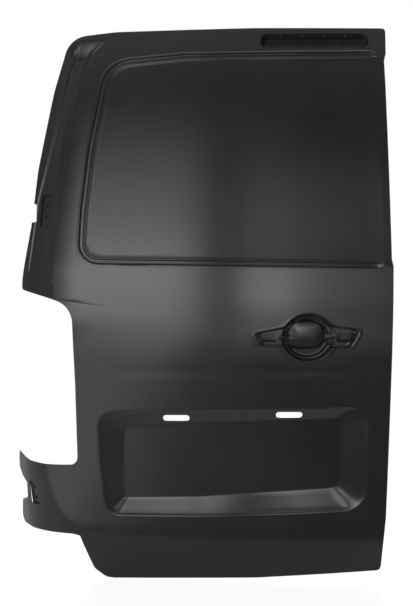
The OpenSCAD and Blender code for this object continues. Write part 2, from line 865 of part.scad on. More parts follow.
module lamp_pocket() {
    color([0.08, 0.08, 0.09])
    set_on_hinge()
    on_crown(pocket_c[0])
    translate([0, side_y(pocket_c[1]) + skin_t + 3, pocket_c[1]]) rotate([-11, 0, 0])
    difference() {
        union() {
            through(0, 0, 0, inner_t) round_rect_2d(pocket_l + 18, pocket_h + 10, 20);
            through(0, 0, 0, pocket_d) slot_2d(pocket_l, pocket_h);
        }
        through(0, 0, -1, pocket_d + 1 - inner_t) slot_2d(pocket_l - 2 * inner_t, pocket_h - 2 * inner_t);
    }
}

module handle_plate() {
    color([0.15, 0.15, 0.16])
    set_on_hinge()
    difference() {
        on_crown(256) side_strip(-178, 2, 300, wing_depth + skin_t + 1.5, 1.5);
        through(256, -88, 0, 60) round_rect_2d(166, 142, 36);
        through(160, -89, 0, 60) round_rect_2d(44, 24, 7);
        through(351, -87, 0, 60) round_rect_2d(50, 28, 7);
    }
}

module latch_plate() {
    color([0.15, 0.15, 0.16])
    set_on_hinge()
    difference() {
        translate([428, side_y(-90) + 9, -140]) cube([2.5, 26.6, 100]);
        for (z = [-120, -60])
            translate([429, side_y(-90) + 24, z]) rotate([0, 90, 0])
                cylinder(r = 4.5, h = 12, center = true, $fn = fine);
    }
}

module lock_plate(p, h) {
    difference() {
        on_crown(p[0]) side_strip(p[1] - h / 2, p[1] + h / 2, 74, field_y + inner_t + seam, 2, 1);
        lock_holes(p);
    }
}

module upper_lock_plate() {
    color([0.16, 0.16, 0.17])
    set_on_hinge() lock_plate(upper_lock, 44);
}

module lower_lock_plate() {
    color([0.16, 0.16, 0.17])
    set_on_hinge() lock_plate(lower_lock, 56);
}

// The hinge lies on a pad that stands through the opening of the outer sheet.
module hinge_plate(w, h, opening) {
    difference() {
        union() {
            through(0, 0, pad_h, plate_t) round_rect_2d(w, h, 8);
            through(0, 0, 0, pad_h + 1) round_rect_2d(opening[0] - 4, opening[1] - 4, opening[2] - 2);
        }
        hinge_bores(4 * (plate_t + pad_h));
    }
}

module upper_hinge_plate() {
    color([0.16, 0.16, 0.17])
    set_on_hinge() at_upper_seat() hinge_plate(46, 104, upper_opening);
}

module lower_hinge_plate() {
    color([0.16, 0.16, 0.17])
    set_on_hinge() at_lower_seat() hinge_plate(54, 92, lower_opening);
}

nut_across = 13;
nut_h = 6.5;

module hinge_nuts() {
    for (side = [-1, 1])
        translate([0, pad_h + plate_t + seam + nut_h, side * hinge_pitch / 2]) rotate([90, 0, 0])
            difference() {
                cylinder(d = nut_across / cos(30), h = nut_h, $fn = 6);
                translate([0, 0, -1]) cylinder(r = hinge_hole_r - 0.5, h = nut_h + 2, $fn = fine);
            }
}

module upper_hinge_nuts() {
    color([0.5, 0.5, 0.5])
    set_on_hinge() at_upper_seat() hinge_nuts();
}

module lower_hinge_nuts() {
    color([0.5, 0.5, 0.5])
    set_on_hinge() at_lower_seat() hinge_nuts();
}

module check_strap_bracket() {
    color([0.16, 0.16, 0.17])
    set_on_hinge()
    difference() {
        on_crown(strap[0]) side_strip(strap[1] - 30, strap[1] + 30, 50, field_y + inner_t + seam, 2, 1);
        strap_holes();
    }
}

outer_skin();
inner_panel();
lamp_pocket();
blank_stiffener_left();
blank_stiffener_right();
waist_rail();
header_rail();
handle_plate();
latch_plate();
upper_lock_plate();
lower_lock_plate();
upper_hinge_plate();
lower_hinge_plate();
upper_hinge_nuts();
lower_hinge_nuts();
check_strap_bracket();
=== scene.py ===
"""Looks of the van rear door: its two pressed sheets, spot welds, finishes and stage."""

import math

import bmesh
import bpy
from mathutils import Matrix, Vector


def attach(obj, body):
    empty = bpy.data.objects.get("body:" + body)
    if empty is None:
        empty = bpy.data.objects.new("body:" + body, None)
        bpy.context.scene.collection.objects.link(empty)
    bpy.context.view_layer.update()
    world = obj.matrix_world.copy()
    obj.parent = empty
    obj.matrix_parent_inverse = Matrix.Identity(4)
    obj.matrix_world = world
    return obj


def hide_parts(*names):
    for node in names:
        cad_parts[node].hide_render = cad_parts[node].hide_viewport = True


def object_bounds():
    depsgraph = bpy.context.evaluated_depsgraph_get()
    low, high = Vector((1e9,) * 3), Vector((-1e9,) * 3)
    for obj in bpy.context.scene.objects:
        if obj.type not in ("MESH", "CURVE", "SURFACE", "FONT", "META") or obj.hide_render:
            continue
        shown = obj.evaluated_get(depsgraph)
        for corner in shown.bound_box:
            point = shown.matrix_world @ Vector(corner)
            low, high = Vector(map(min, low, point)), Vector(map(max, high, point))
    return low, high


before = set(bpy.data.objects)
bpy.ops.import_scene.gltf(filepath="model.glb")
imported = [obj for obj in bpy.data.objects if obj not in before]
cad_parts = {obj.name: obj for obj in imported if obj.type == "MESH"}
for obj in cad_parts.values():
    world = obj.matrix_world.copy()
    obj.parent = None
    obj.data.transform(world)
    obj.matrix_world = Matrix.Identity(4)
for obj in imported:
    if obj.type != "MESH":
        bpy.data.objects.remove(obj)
CAD_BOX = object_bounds()

bl_info = {
    "name": "Van rear door",
    "version": (1, 0, 0),
    "blender": (4, 5, 0),
    "location": "View3D > Sidebar > Van door",
    "description": "Builds the bare pressed rear door of a van with its finishes and stage",
    "category": "Object",
}

# Sizes of the panel in millimetres. x runs towards the free edge from the middle
# of the door, y into the van, and z up from mid height.
EDGE_X = 468.0
TOP_Z = 720.0
BOTTOM_Z = -730.0
WAIST_Z = 95.0
CREASE_Z = -174.0
LEAN = 0.10
TUCK = 0.137
CROWN_R = 10500.0
CORNER_R = 220.0
CORNER_ANGLE = math.radians(55)
CORNER_X = -332.0
CHANNEL_DEPTH = 9.0
SEAM_UPPER_Z = 12.0
SEAM_LOWER_Z = -205.0
FIELD_Y = 40.0

# The channel down the hinge side: z and x of the step at the main face, and of the rim.
STEP_LINE = (
    (12, -401), (136, -392), (328, -368), (397, -356), (500, -335), (600, -322), (660, -300), (695, -262),
)
RIM_LINE = (
    (12, -470), (60, -466), (138, -455), (269, -438), (400, -405), (520, -378), (600, -362), (690, -330),
)

# Hinge seats: x and z, turn about the upright, tilt, and how far they are sunk.
LOWER_SEAT = (-464.0, -510.0)
LOWER_TURN = math.radians(46)
LOWER_TILT = math.radians(9)
UPPER_SEAT = (-418.0, 238.0)
UPPER_TURN = math.radians(34)
UPPER_TILT = math.radians(-7)
SEAT_SINK = 4.5

# Middles and half sizes of the pressed forms, x and z, and the depth of the handle's wings.
HANDLE_C = (256.0, -88.0)
BOWL_HALF = (66.0, 59.0)
CUSHION_C = (249.0, -80.0)
CUSHION_HALF = (52.0, 36.0)
PLATE_C = (65.0, -410.0)
BLANK_C = (60.0, 370.0)
WING_DEPTH = 11.0

# Points along the seams and sides of the sheet.
N_SEAM = 108
N_BLANK_EDGE = 72
N_BLANK_LEFT = 96
N_BAND = 40
N_LOWER_EDGE = 60
N_LAMP_EDGE = 36
N_ROOT = 44
N_CORNER = 28
N_EAR = 46


def ramp(t):
    """Smooth step from 0 to 1."""
    u = min(1.0, max(0.0, t))
    return u * u * (3 - 2 * u)


def lookup(value, table):
    """Straight line through the points of a table, held at its ends."""
    if value <= table[0][0]:
        return table[0][1]
    for (a, b), (c, d) in zip(table, table[1:]):
        if value <= c:
            return b + (d - b) * (value - a) / (c - a)
    return table[-1][1]


def side_y(z):
    """Depth of the door's side profile at a height."""
    if z > WAIST_Z:
        return LEAN * (z - WAIST_Z) + 0.000083 * (z - WAIST_Z) ** 2
    if z > CREASE_Z:
        return 0.000255 * (WAIST_Z - z) ** 2
    drop = CREASE_Z - z
    return 0.000255 * (WAIST_Z - CREASE_Z) ** 2 + TUCK * drop + 0.000042 * drop * drop


def plan_y(x, z):
    """Depth across the van: a slight crown, then the corner wrapping to the hinges."""
    b = CORNER_X + 0.05 * max(0.0, z - WAIST_Z)
    if x >= b:
        return (EDGE_X - x) ** 2 / (2 * CROWN_R)
    s0 = (EDGE_X - b) / CROWN_R
    start = (EDGE_X - b) ** 2 / (2 * CROWN_R)
    c0 = math.sqrt(1 - s0 * s0)
    s = s0 + (b - x) / CORNER_R
    s1, c1 = math.sin(CORNER_ANGLE), math.cos(CORNER_ANGLE)
    if s <= s1:
        return start + CORNER_R * (c0 - math.sqrt(1 - s * s))
    return start + CORNER_R * (c0 - c1) + (b - x - CORNER_R * (s1 - s0)) * math.tan(CORNER_ANGLE)


def channel_y(x, z):
    """Gutter between the main face and the rim, down the hinge side."""
    line = lookup(z, STEP_LINE)
    if z < SEAM_UPPER_Z - 30 or x > line:
        return 0.0
    fade = ramp((700 - z) / 60) * ramp((z - SEAM_UPPER_Z + 30) / 40)
    rim = lookup(z, RIM_LINE)
    floor = ramp((line - x) / 11) - 0.5 * ramp((rim - x) / 7) * ramp((z - 20) / 60)
    return CHANNEL_DEPTH * floor * fade


def crease_line_y(x, z):
    """The slight pressed line across the door above the plate recess."""
    t = (z - CREASE_Z) / 5.0
    return 1.1 * math.exp(-t * t) * ramp((x + 330) / 60)


def face_y(x, z):
    """Depth of the plain face of the door."""
    return side_y(z) + plan_y(x, z) + channel_y(x, z)


def to_frame(x, y, z):
    """From door millimetres to the frame's metres."""
    return Vector(((x - ORIGIN[0]) / 1000, (y - ORIGIN[1]) / 1000, (z - ORIGIN[2]) / 1000))


def seat_point(seat, turn_by):
    """The centre of a hinge seat as the frame's origin has it."""
    x, z = seat
    line = lookup(z, STEP_LINE)
    depth = side_y(z) + plan_y(x, z)
    if z > SEAM_UPPER_Z - 30 and x < line:
        depth += CHANNEL_DEPTH
    return (x + SEAT_SINK * math.sin(turn_by), depth + SEAT_SINK * math.cos(turn_by), z)


ORIGIN = seat_point(LOWER_SEAT, LOWER_TURN)


# Outlines as corners: x, z, radius, points to the next main corner.
def corner_arc(a, p, b, r, steps=10):
    """Points of a rounded corner between three corners."""
    if r <= 0:
        return [p] * 2
    u = (Vector(a) - Vector(p)).normalized()
    v = (Vector(b) - Vector(p)).normalized()
    half = math.acos(max(-1.0, min(1.0, u.dot(v)))) / 2
    reach = r / math.tan(half)
    c = Vector(p) + (u + v).normalized() * r / math.sin(half)
    s = Vector(p) + u * reach - c
    e = Vector(p) + v * reach - c
    start = math.atan2(s.y, s.x)
    sweep = math.atan2(e.y, e.x) - start
    sweep = (sweep + 3 * math.pi) % (2 * math.pi) - math.pi
    return [
        (c.x + r * math.cos(start + sweep * k / steps), c.y + r * math.sin(start + sweep * k / steps))
        for k in range(steps + 1)
    ]


def spread(path, n):
    """n points at even steps along a path, without its last point."""
    run = [0.0]
    for a, b in zip(path, path[1:]):
        run.append(run[-1] + math.hypot(b[0] - a[0], b[1] - a[1]))
    out = []
    i = 0
    for k in range(n):
        d = run[-1] * k / n
        while i < len(run) - 2 and run[i + 1] <= d:
            i += 1
        gap = run[i + 1] - run[i]
        t = 0 if gap < 1e-9 else min(1.0, (d - run[i]) / gap)
        a, b = path[i], path[i + 1]
        out.append((a[0] + (b[0] - a[0]) * t, a[1] + (b[1] - a[1]) * t))
    return out


def loop_of(corners):
    """Closed outline through rounded corners, with set counts between main corners."""
    n = len(corners)
    spots = [corner[:2] for corner in corners]
    arcs = [corner_arc(spots[i - 1], spots[i], spots[(i + 1) % n], corners[i][2]) for i in range(n)]
    mains = [i for i in range(n) if corners[i][3] > 0]
    out = []
    for m, i in enumerate(mains):
        j = mains[m + 1] if m + 1 < len(mains) else mains[0] + n
        mid_i, mid_j = len(arcs[i]) // 2, len(arcs[j % n]) // 2
        path = list(arcs[i][mid_i:])
        for k in range(i + 1, j):
            path += arcs[k % n]
        path += arcs[j % n][: mid_j + 1]
        out += spread(path, corners[i][3])
    return out


FOOT = (-404.0, SEAM_UPPER_Z)
LAMP_TOP = (-337.5, SEAM_LOWER_Z)
ROOT_TOP = (-336.0, -396.0)
ROOT_BOTTOM = (-335.0, -616.0)

BLANK_BORDER = (
    (*FOOT, 0, N_SEAM), (EDGE_X, SEAM_UPPER_Z, 0, N_BLANK_EDGE), (EDGE_X, WAIST_Z + 2, 1, 0),
    (EDGE_X - 4, WAIST_Z + 8, 2, 0), (EDGE_X - 6, 560, 60, 0), (EDGE_X - 7, 630, 2, 0),
    (EDGE_X - 2, 648, 4, 0), (EDGE_X, TOP_Z - 1, 8, N_SEAM), (120, TOP_Z + 2, 400, 0),
    (-240, TOP_Z - 3, 200, 0), (-365, TOP_Z - 16, 64, N_BLANK_LEFT), (-405, 560, 400, 0),
    (-445, 351, 300, 0), (-460, 207, 200, 0), (-488, 60, 100, 0), (-490, 36, 7, 0),
)
BAND_BORDER = (
    (*FOOT, 0, N_BAND), (-344, -7, 60, 0), (*LAMP_TOP, 0, N_SEAM),
    (EDGE_X - 1, SEAM_LOWER_Z, 0, N_BAND), (EDGE_X, SEAM_UPPER_Z, 0, N_SEAM),
)
PLATE_BORDER = (
    (EDGE_X - 1, SEAM_LOWER_Z, 0, N_SEAM), (*LAMP_TOP, 0, N_LAMP_EDGE), (*ROOT_TOP, 0, N_ROOT),
    (*ROOT_BOTTOM, 0, N_CORNER), (-322, -650, 60, 0), (-298, -706, 30, 0), (-266, BOTTOM_Z, 30, 0),
    (-244, BOTTOM_Z - 2, 30, N_SEAM), (130, BOTTOM_Z + 5, 600, 0), (325, BOTTOM_Z + 18, 300, 0),
    (457, BOTTOM_Z + 28, 12, N_LOWER_EDGE), (466, -560, 60, 0),
)
CREASE = (
    (-398, 50, 0, N_SEAM), (EDGE_X - 14, 50, 0, N_BLANK_EDGE), (EDGE_X - 14, TOP_Z - 12, 0, N_SEAM),
    (-262, TOP_Z - 25, 24, N_BLANK_LEFT), (-300, 660, 20, 0), (-335, 500, 200, 0),
    (-368, 328, 200, 0), (-392, 136, 200, 0),
)


def rim_outline(d):
    """The rim's line along the channel, d further out down the hinge side."""
    return loop_of((
        (-415, 26, 0, N_SEAM), (EDGE_X - 7, 26, 0, N_BLANK_EDGE), (EDGE_X - 9, TOP_Z - 6, 0, N_SEAM),
        (-322 - d, 698, 24, N_BLANK_LEFT), (-362 - d, 600, 200, 0), (-378 - d, 520, 200, 0),
        (-405 - d, 400, 200, 0), (-438 - d, 269, 200, 0), (-455 - d, 138, 200, 0), (-466 - d, 60, 30, 0),
        (-464 - d, 40, 6, 0),
    ))


def bead_outline(d, k=0.0):
    """The window bead's line, grown outwards by d and held k steps off the free edge."""
    return loop_of((
        (-322 - d, WAIST_Z + 10.5 - d, 46 + d, N_SEAM),
        (EDGE_X - 16 - 3 * k, WAIST_Z - 2 - d, 0, N_BLANK_EDGE),
        (EDGE_X - 16 - 3 * k, 647 + d, 0, N_SEAM), (-60, 646 + d, 300, 0),
        (-259 - d, 628 + d, 75 + d, N_BLANK_LEFT), (-300 - d, 395, 300, 0), (-317 - d, 230, 300, 0),
    ))


HANDLE_WINGS = (
    (122, -77, 6, 60), (134, -105, 9, 60), (362, -113, 14, 60), (388, -67, 10, 60), (250, -52, 60, 0),
)
RECESS_OUTER = (
    (412, -263, 50, N_SEAM), (-280, -279, 45, N_LAMP_EDGE), (-276, -400, 0, N_ROOT),
    (-266, -505, 0, N_CORNER), (-259, -557, 38, N_SEAM), (-17, -556, 300, 0), (243, -547, 200, 0),
    (415, -535, 62, N_LOWER_EDGE), (414, -420, 200, 0),
)
RECESS_FLOOR = (
    (342, -299, 20, N_SEAM), (-17, -313, 300, 0), (-213, -329, 20, N_LAMP_EDGE), (-214, -400, 0, N_ROOT),
    (-216, -480, 0, N_CORNER), (-217, -513, 14, N_SEAM), (-17, -507, 300, 0), (164, -492, 200, 0),
    (343, -478, 26, N_LOWER_EDGE),
)
# Openings through the sheet along y: middle, width and height, corner radius, and the cut's reach.
SHEET_OPENINGS = (
    ((281, 685), (284, 40), 19.5, 40, 160),
    ((-78, -296.5), (68, 16), 7.9, 0, 120),
    ((212, -287), (68, 16), 7.9, 0, 120),
    ((160, -89), (40, 20), 6, -20, 60),
    ((351, -87), (46, 24), 6, -20, 60),
    ((-466, 236), (40, 48), 5, 40, 160),
)
# Openings square to a hinge seat: width and height, corner radius, and the seat.
SEAT_OPENINGS = (
    ((36, 62), 6, (LOWER_SEAT, LOWER_TURN, LOWER_TILT)),
    ((34, 84), 8, (UPPER_SEAT, UPPER_TURN, UPPER_TILT)),
)
EAR_LINE = (
    (*ROOT_TOP, 0, N_EAR), (-337, -421, 20, 0), (-427, -425, 100, 0), (-480, -422, 60, 0),
    (-515, -405, 0, N_ROOT), (-518, -448, 20, 0), (-505, -474, 10, 0), (-489, -488, 6, 0),
    (-488, -530, 8, 0), (-509, -542, 8, 0), (-512, -590, 30, 0), (-503, -606, 0, N_EAR),
    (-470, -611, 60, 0), (-354, -611, 30, 0), (*ROOT_BOTTOM, 0, N_ROOT),
)


def seen_from(centre, directions, outline):
    """Points of an outline in the directions of another loop, seen from a centre."""
    marks = sorted(
        (math.atan2(z - centre[1], x - centre[0]), math.dist((x, z), centre)) for x, z in outline
    )
    marks = [(marks[-1][0] - 2 * math.pi, marks[-1][1])] + marks + [(marks[0][0] + 2 * math.pi, marks[0][1])]
    out = []
    for x, z in directions:
        a = math.atan2(z - centre[1], x - centre[0])
        r = lookup(a, marks)
        out.append((centre[0] + r * math.cos(a), centre[1] + r * math.sin(a)))
    return out


def handle_contour(directions):
    """The handle recess seen from above: an oval bowl that runs out into two wings."""
    wings = seen_from(HANDLE_C, directions, loop_of(HANDLE_WINGS))
    out = []
    for x, z in wings:
        a, reach = math.atan2(z - HANDLE_C[1], x - HANDLE_C[0]), math.dist((x, z), HANDLE_C)
        oval = 1 / math.hypot(math.cos(a) / BOWL_HALF[0], math.sin(a) / BOWL_HALF[1])
        r = (oval ** 14 + reach ** 14) ** (1 / 14)
        out.append((HANDLE_C[0] + r * math.cos(a), HANDLE_C[1] + r * math.sin(a)))
    return out


def toward(loop, c, t):
    """A loop drawn in towards a centre."""
    return [(x + (c[0] - x) * t, z + (c[1] - z) * t) for x, z in loop]


def mix(a, b, t):
    """A loop between two loops."""
    return [(p[0] + (q[0] - p[0]) * t, p[1] + (q[1] - p[1]) * t) for p, q in zip(a, b)]


def raised(loop, depth=0.0):
    """A loop laid on the face, with an extra depth given as a number or a function."""
    if callable(depth):
        return [(x, face_y(x, z) + crease_line_y(x, z) + depth(x, z), z) for x, z in loop]
    return [(x, face_y(x, z) + crease_line_y(x, z) + depth, z) for x, z in loop]


def blank_rows(s):
    """Loops from the upper border over the crease and the bead to the middle of the blank."""
    border = loop_of(BLANK_BORDER)
    rim = rim_outline(0)
    crease = loop_of(CREASE)
    half = s.bead_width * 500
    lip = bead_outline(half + 3, 0)
    depth, sink = s.bead_depth * 1000, 1.0

    def sunk(amount):
        """Depth that fades out before the free edge."""
        return lambda x, z: amount * ramp((EDGE_X - 22 - x) / 24)

    channel = (0, 0.12, 0.3, 0.46, 0.58, 0.68, 0.75, 0.8, 0.85, 0.9, 0.95)
    middle = (0.04, 0.1, 0.2, 0.3, 0.4, 0.5, 0.6, 0.7, 0.8, 0.9)
    rows = [raised(mix(border, rim_outline(8), t)) for t in (0, 0.15, 0.6)]
    rows += [raised(rim_outline(d)) for d in (8, 6.5, 5, 3.5, 2, 0.5)]
    rows += [raised(mix(rim, crease, t)) for t in channel]
    rows += [raised(mix(crease, lip, t)) for t in (0, 0.08, 0.2, 0.35, 0.5, 0.65, 0.8, 0.92)]
    rows.append(raised(lip))
    steps = 18
    # From the outer lip over a low shoulder down into the groove, and up again to the blank.
    for k in range(1, steps + 1):
        t = k / steps
        off = abs(2 * t - 1) * (half + 3)
        groove = depth * ramp((half + 1.2 - off) / 4.2)
        shoulder = 0.5 * ramp(1 - abs(off - half - 1.6) / 1.4)
        line = bead_outline(half + 3 - (2 * half + 6) * t, 3 * t)
        rows.append(raised(line, sunk(groove - shoulder + sink * ramp(t))))
    inner = bead_outline(-half - 3, 3)
    rows += [raised(toward(inner, BLANK_C, t), sunk(sink)) for t in middle]
    rows.append(raised([BLANK_C] * len(inner), sunk(sink)))
    return rows


def handle_depth(s):
    """Depth inside the handle's contour: the wings, the bowl with its ledge, and its cushion."""
    bowl = s.bowl_depth * 1000

    def depth(x, z):
        r = math.hypot((x - HANDLE_C[0]) / BOWL_HALF[0], (z - HANDLE_C[1]) / BOWL_HALF[1])
        across, up = abs((x - CUSHION_C[0]) / CUSHION_HALF[0]), abs((z - CUSHION_C[1]) / CUSHION_HALF[1])
        c = (across ** 3.0 + up ** 3.0) ** (1 / 3.0)
        cushion = 8.0 * ramp((1.03 - c) / 0.17) + 4.5 * (1 - min(1.0, c) ** 2)
        wall = 0.45 * ramp((1.0 - r) / 0.09) + 0.55 * ramp((0.87 - r) / 0.12)
        return WING_DEPTH + (bowl - WING_DEPTH) * wall - cushion

    return depth


def band_rows(s):
    """Loops from the border of the middle band into the handle's bowl."""
    border = loop_of(BAND_BORDER)
    contour = handle_contour(border)
    lip = toward(contour, HANDLE_C, -0.07)
    deep = handle_depth(s)
    face = (0, 0.02, 0.08, 0.18, 0.3, 0.45, 0.6, 0.75, 0.87, 0.95, 0.985)
    steps = (0.11, 0.13, 0.15, 0.17, 0.19, 0.21, 0.24, 0.27, 0.3, 0.33, 0.36, 0.4, 0.45, 0.5, 0.56)
    steps += (0.64, 0.73, 0.82, 0.91)
    rows = [raised(mix(border, lip, t)) for t in face]
    rows += [raised(lip, -0.3), raised(toward(contour, HANDLE_C, -0.04), -1.0)]
    rows += [raised(toward(contour, HANDLE_C, -0.015), -0.6), raised(toward(contour, HANDLE_C, 0.005), 1.0)]
    for t, share in ((0.02, 0.3), (0.04, 0.62), (0.06, 0.85), (0.09, 1.0)):
        rows.append(raised(toward(contour, HANDLE_C, t), lambda x, z, k=share: k * min(deep(x, z), 14.0)))
    rows += [raised(toward(contour, HANDLE_C, t), deep) for t in steps]
    rows.append(raised([HANDLE_C] * len(contour), deep))
    return rows


def plate_rows(s):
    """Loops from the lower border down the walls of the plate recess to its floor."""
    border = loop_of(PLATE_BORDER)
    outer = loop_of(RECESS_OUTER)
    floor = loop_of(RECESS_FLOOR)
    lip = toward(outer, PLATE_C, -0.03)
    depth = s.recess_depth * 1000
    rows = [raised(mix(border, lip, t)) for t in (0, 0.03, 0.1, 0.22, 0.36, 0.52, 0.68, 0.84, 0.95)]
    rows += [raised(lip), raised(mix(lip, outer, 0.5), 0.1), raised(outer, 0.8)]
    wall = ((0.03, 0.05), (0.07, 0.105), (0.15, 0.2), (0.3, 0.355), (0.5, 0.555), (0.7, 0.755), (0.85, 0.905))
    wall += ((0.92, 0.965), (0.96, 0.99), (1.0, 1.0))
    rows += [raised(mix(outer, floor, t), 0.8 + (depth - 0.8) * k) for t, k in wall]
    rows += [raised(toward(floor, PLATE_C, t), depth) for t in (0.03, 0.08, 0.2, 0.35, 0.5, 0.65, 0.8, 0.92)]
    rows.append(raised([PLATE_C] * len(floor), depth))
    return rows


def ear_rows():
    """Columns of the hinge ear from its root to its tip."""
    loop = loop_of(EAR_LINE)
    n, m = N_EAR, N_ROOT
    top = loop[: n + 1]
    tip = loop[n: n + m + 1]
    bottom = [loop[2 * n + m - i] for i in range(n + 1)]
    root = [loop[-j % len(loop)] for j in range(m + 1)]
    rows = []
    for i in range(n + 1):
        s = math.dist(top[i], top[0]) / math.dist(top[n], top[0])
        row = []
        for j in range(m + 1):
            f = (root[0][1] - root[j][1]) / (root[0][1] - root[m][1])
            if i == 0:
                p = root[j]
            elif i == n:
                p = tip[j]
            elif j == 0:
                p = top[i]
            elif j == m:
                p = bottom[i]
            else:
                p = tuple(
                    (1 - s) * root[j][k] + s * tip[j][k] + (1 - f) * top[i][k] + f * bottom[i][k]
                    - (1 - s) * (1 - f) * root[0][k] - s * (1 - f) * tip[0][k]
                    - (1 - s) * f * root[m][k] - s * f * tip[m][k]
                    for k in (0, 1)
                )
            row.append(p)
        rows.append(raised(row))
    return rows


# Inner panel: left and right edge at heights, openings (x, z, width, height, radius) and beads.
INNER_LEFT = (
    (-692, -236), (-684, -266), (-660, -300), (-610, -325), (0, -326), (8, -332), (14, -352), (20, -372),
    (28, -382), (136, -378), (328, -354), (500, -320), (655, -286), (690, -250), (706, -226),
)
INNER_RIGHT = ((-692, 446), (-560, 456), (95, 458), (110, 454), (560, 452), (706, 456))
INNER_WINDOWS = (
    (70, 375, 620, 440, 40), (255, -86, 130, 130, 30), (-120, -80, 280, 150, 40), (-90, -400, 280, 260, 40),
    (240, -400, 300, 260, 40), (-120, -640, 160, 50, 25), (255, -640, 160, 50, 25),
)
INNER_BEADS = ((-210, 400, 92), (-210, 390, -222), (-190, 370, -572))
INNER_BOTTOM_Z = -692.0
INNER_TOP_Z = 706.0
INNER_THICKNESS = 0.0012
FLANGE_W = 12.0
FLANGE_FOOT = 8.0
FLANGE_HEAD = 10.0
FLANGE_THICKNESS = 0.001
WALL_W = 5.0
FLANGE_OFF = 1.9
UPPER_LOCK = (385.0, 628.0)
LOWER_LOCK = (400.0, -634.0)
STRAP = (-280.0, -30.0)
REBATE = 2.5
BEAD_RISE = 3.0
POCKET_OPENING = ((281, 685), (308, 60), 29.5, 60, 260)
# Holes of a lock beside its middle, as offset along x and radius, and those of the check strap
# as offset along z and radius.
LOCK_HOLES = ((-24, 3.5), (0, 9.0), (24, 3.5))
STRAP_HOLES = ((-15, 3.5), (15, 3.5))
# Spot welds: radius and height in metres, distance from the flange's edge in millimetres.
WELD_RADIUS = 0.0032
WELD_HEIGHT = 0.0005
WELD_INSET = 5.5


def off_window(x, z, window):
    """Distance from a rounded opening's edge, positive outside it."""
    cx, cz, w, h, r = window
    qx, qz = abs(x - cx) - w / 2 + r, abs(z - cz) - h / 2 + r
    return math.hypot(max(qx, 0), max(qz, 0)) + min(max(qx, qz), 0) - r


def inner_press(x, z):
    """Depth pressed into the inner panel's field: a rebate round the openings, and level beads."""
    near = min(off_window(x, z, w) for w in INNER_WINDOWS)
    depth = -REBATE * ramp((11 - near) / 6)
    for x0, x1, bead_z in INNER_BEADS:
        d = math.hypot(max(x0 - x, x - x1, 0), z - bead_z)
        depth += BEAD_RISE * ramp((13 - d) / 9)
    return depth


def inner_y(x, z):
    """Depth of the inner panel's field."""
    return face_y(x, z) + FIELD_Y + inner_press(x, z)


def face_normal(x, z):
    """Direction into the van, square to the face."""
    dx = (face_y(x + 0.5, z) - face_y(x - 0.5, z))
    dz = (face_y(x, z + 0.5) - face_y(x, z - 0.5))
    return Vector((-dx, 1, -dz)).normalized()


def hem_drop(x, z):
    """How far the inner panel's lower edge follows the door's sloping bottom edge."""
    return 26 * ramp((330 - x) / 260) * ramp((-500 - z) / 170)


def flange_off(x):
    """Distance of the flange's front from the outer face, wider where the corner turns."""
    return FLANGE_OFF + 1.3 * ramp((CORNER_X + 20 - x) / 14)


def inner_rows():
    """Level rows of the inner panel: a flange all round, a wall, and the field."""
    heights = [-692, -688, -684, -683, -681.5, -680, -679, -678]
    heights += [-678 + 1368 * k / 152 for k in range(1, 152)] + [690, 691, 692.5, 694, 695.5, 696, 701, 706]
    n = 100
    rows = []
    for z in heights:
        left, right = lookup(z, INNER_LEFT), lookup(z, INNER_RIGHT)
        inside = FLANGE_W + WALL_W
        xs = [left, left + 6, left + 11] + [left + FLANGE_W + WALL_W * t for t in (0, 0.2, 0.5, 0.8)]
        xs += [left + inside + (right - left - 2 * inside) * k / n for k in range(n + 1)]
        xs += [right - FLANGE_W - WALL_W * t for t in (0.8, 0.5, 0.2, 0)] + [right - 11, right - 6, right]
        row = []
        for x in xs:
            h = z - hem_drop(x, z)
            sides = min(x - left - FLANGE_W, right - FLANGE_W - x) / WALL_W
            foot = (z - INNER_BOTTOM_Z - FLANGE_FOOT) / 6
            head = (INNER_TOP_Z - FLANGE_HEAD - z) / 6
            lift = ramp(min(sides, foot, head))
            base = Vector((x, face_y(x, h), h)) + flange_off(x) * face_normal(x, h)
            field = Vector((x, inner_y(x, h), h))
            row.append(tuple(base.lerp(field, lift)))
        rows.append(row)
    return rows


def window_flange(bm, window):
    """The turned-in edge of an opening of the inner panel."""
    cx, cz, w, h, r = window
    rows = []
    for grow, forward in ((1.6, 0.0), (0.7, -0.2), (0.15, -0.9), (0.0, -2.0), (0.0, -8.5)):
        a, b = w / 2 + grow, h / 2 + grow
        corners = ((cx - a, cz - b), (cx + a, cz - b), (cx + a, cz + b), (cx - a, cz + b))
        outline = loop_of(tuple((x, z, min(r + grow, a - 0.1, b - 0.1), 22) for x, z in corners))
        rows.append([(x, inner_y(x, z) + forward, z) for x, z in outline])
    return lay_grid(bm, rows)


def lay_grid(bm, rows, closed=True):
    """A flat grid whose points are moved on to the given rows. Closed rows join end to end."""
    n = len(rows[0]) if closed else len(rows[0]) - 1
    m = len(rows) - 1
    made = bmesh.ops.create_grid(bm, x_segments=n, y_segments=m, size=1.0)
    for v in made["verts"]:
        i = round((v.co.x + 1) / 2 * n)
        k = round((v.co.y + 1) / 2 * m)
        x, y, z = rows[k][i % n if closed else i]
        v.co = to_frame(x, y, z)
    return made["verts"]


def face_out(bm, towards):
    """Turns the faces so that they look along a direction on the whole."""
    total = sum((f.normal * f.calc_area() for f in bm.faces), Vector())
    if total.dot(towards) < 0:
        bmesh.ops.reverse_faces(bm, faces=bm.faces[:])


def mark_sharp(bm, degrees):
    """Smooth shading with hard edges where the sheet turns sharply."""
    limit = math.radians(degrees)
    for f in bm.faces:
        f.smooth = True
    for e in bm.edges:
        e.smooth = len(e.link_faces) != 2 or e.calc_face_angle(0.0) < limit


def keep_inside(bm):
    """Holds a sheet to the outermost faces of the door."""
    low, high = CAD_BOX
    for v in bm.verts:
        v.co = Vector(min(max(v.co[k], low[k] + 1e-6), high[k] - 1e-6) for k in range(3))


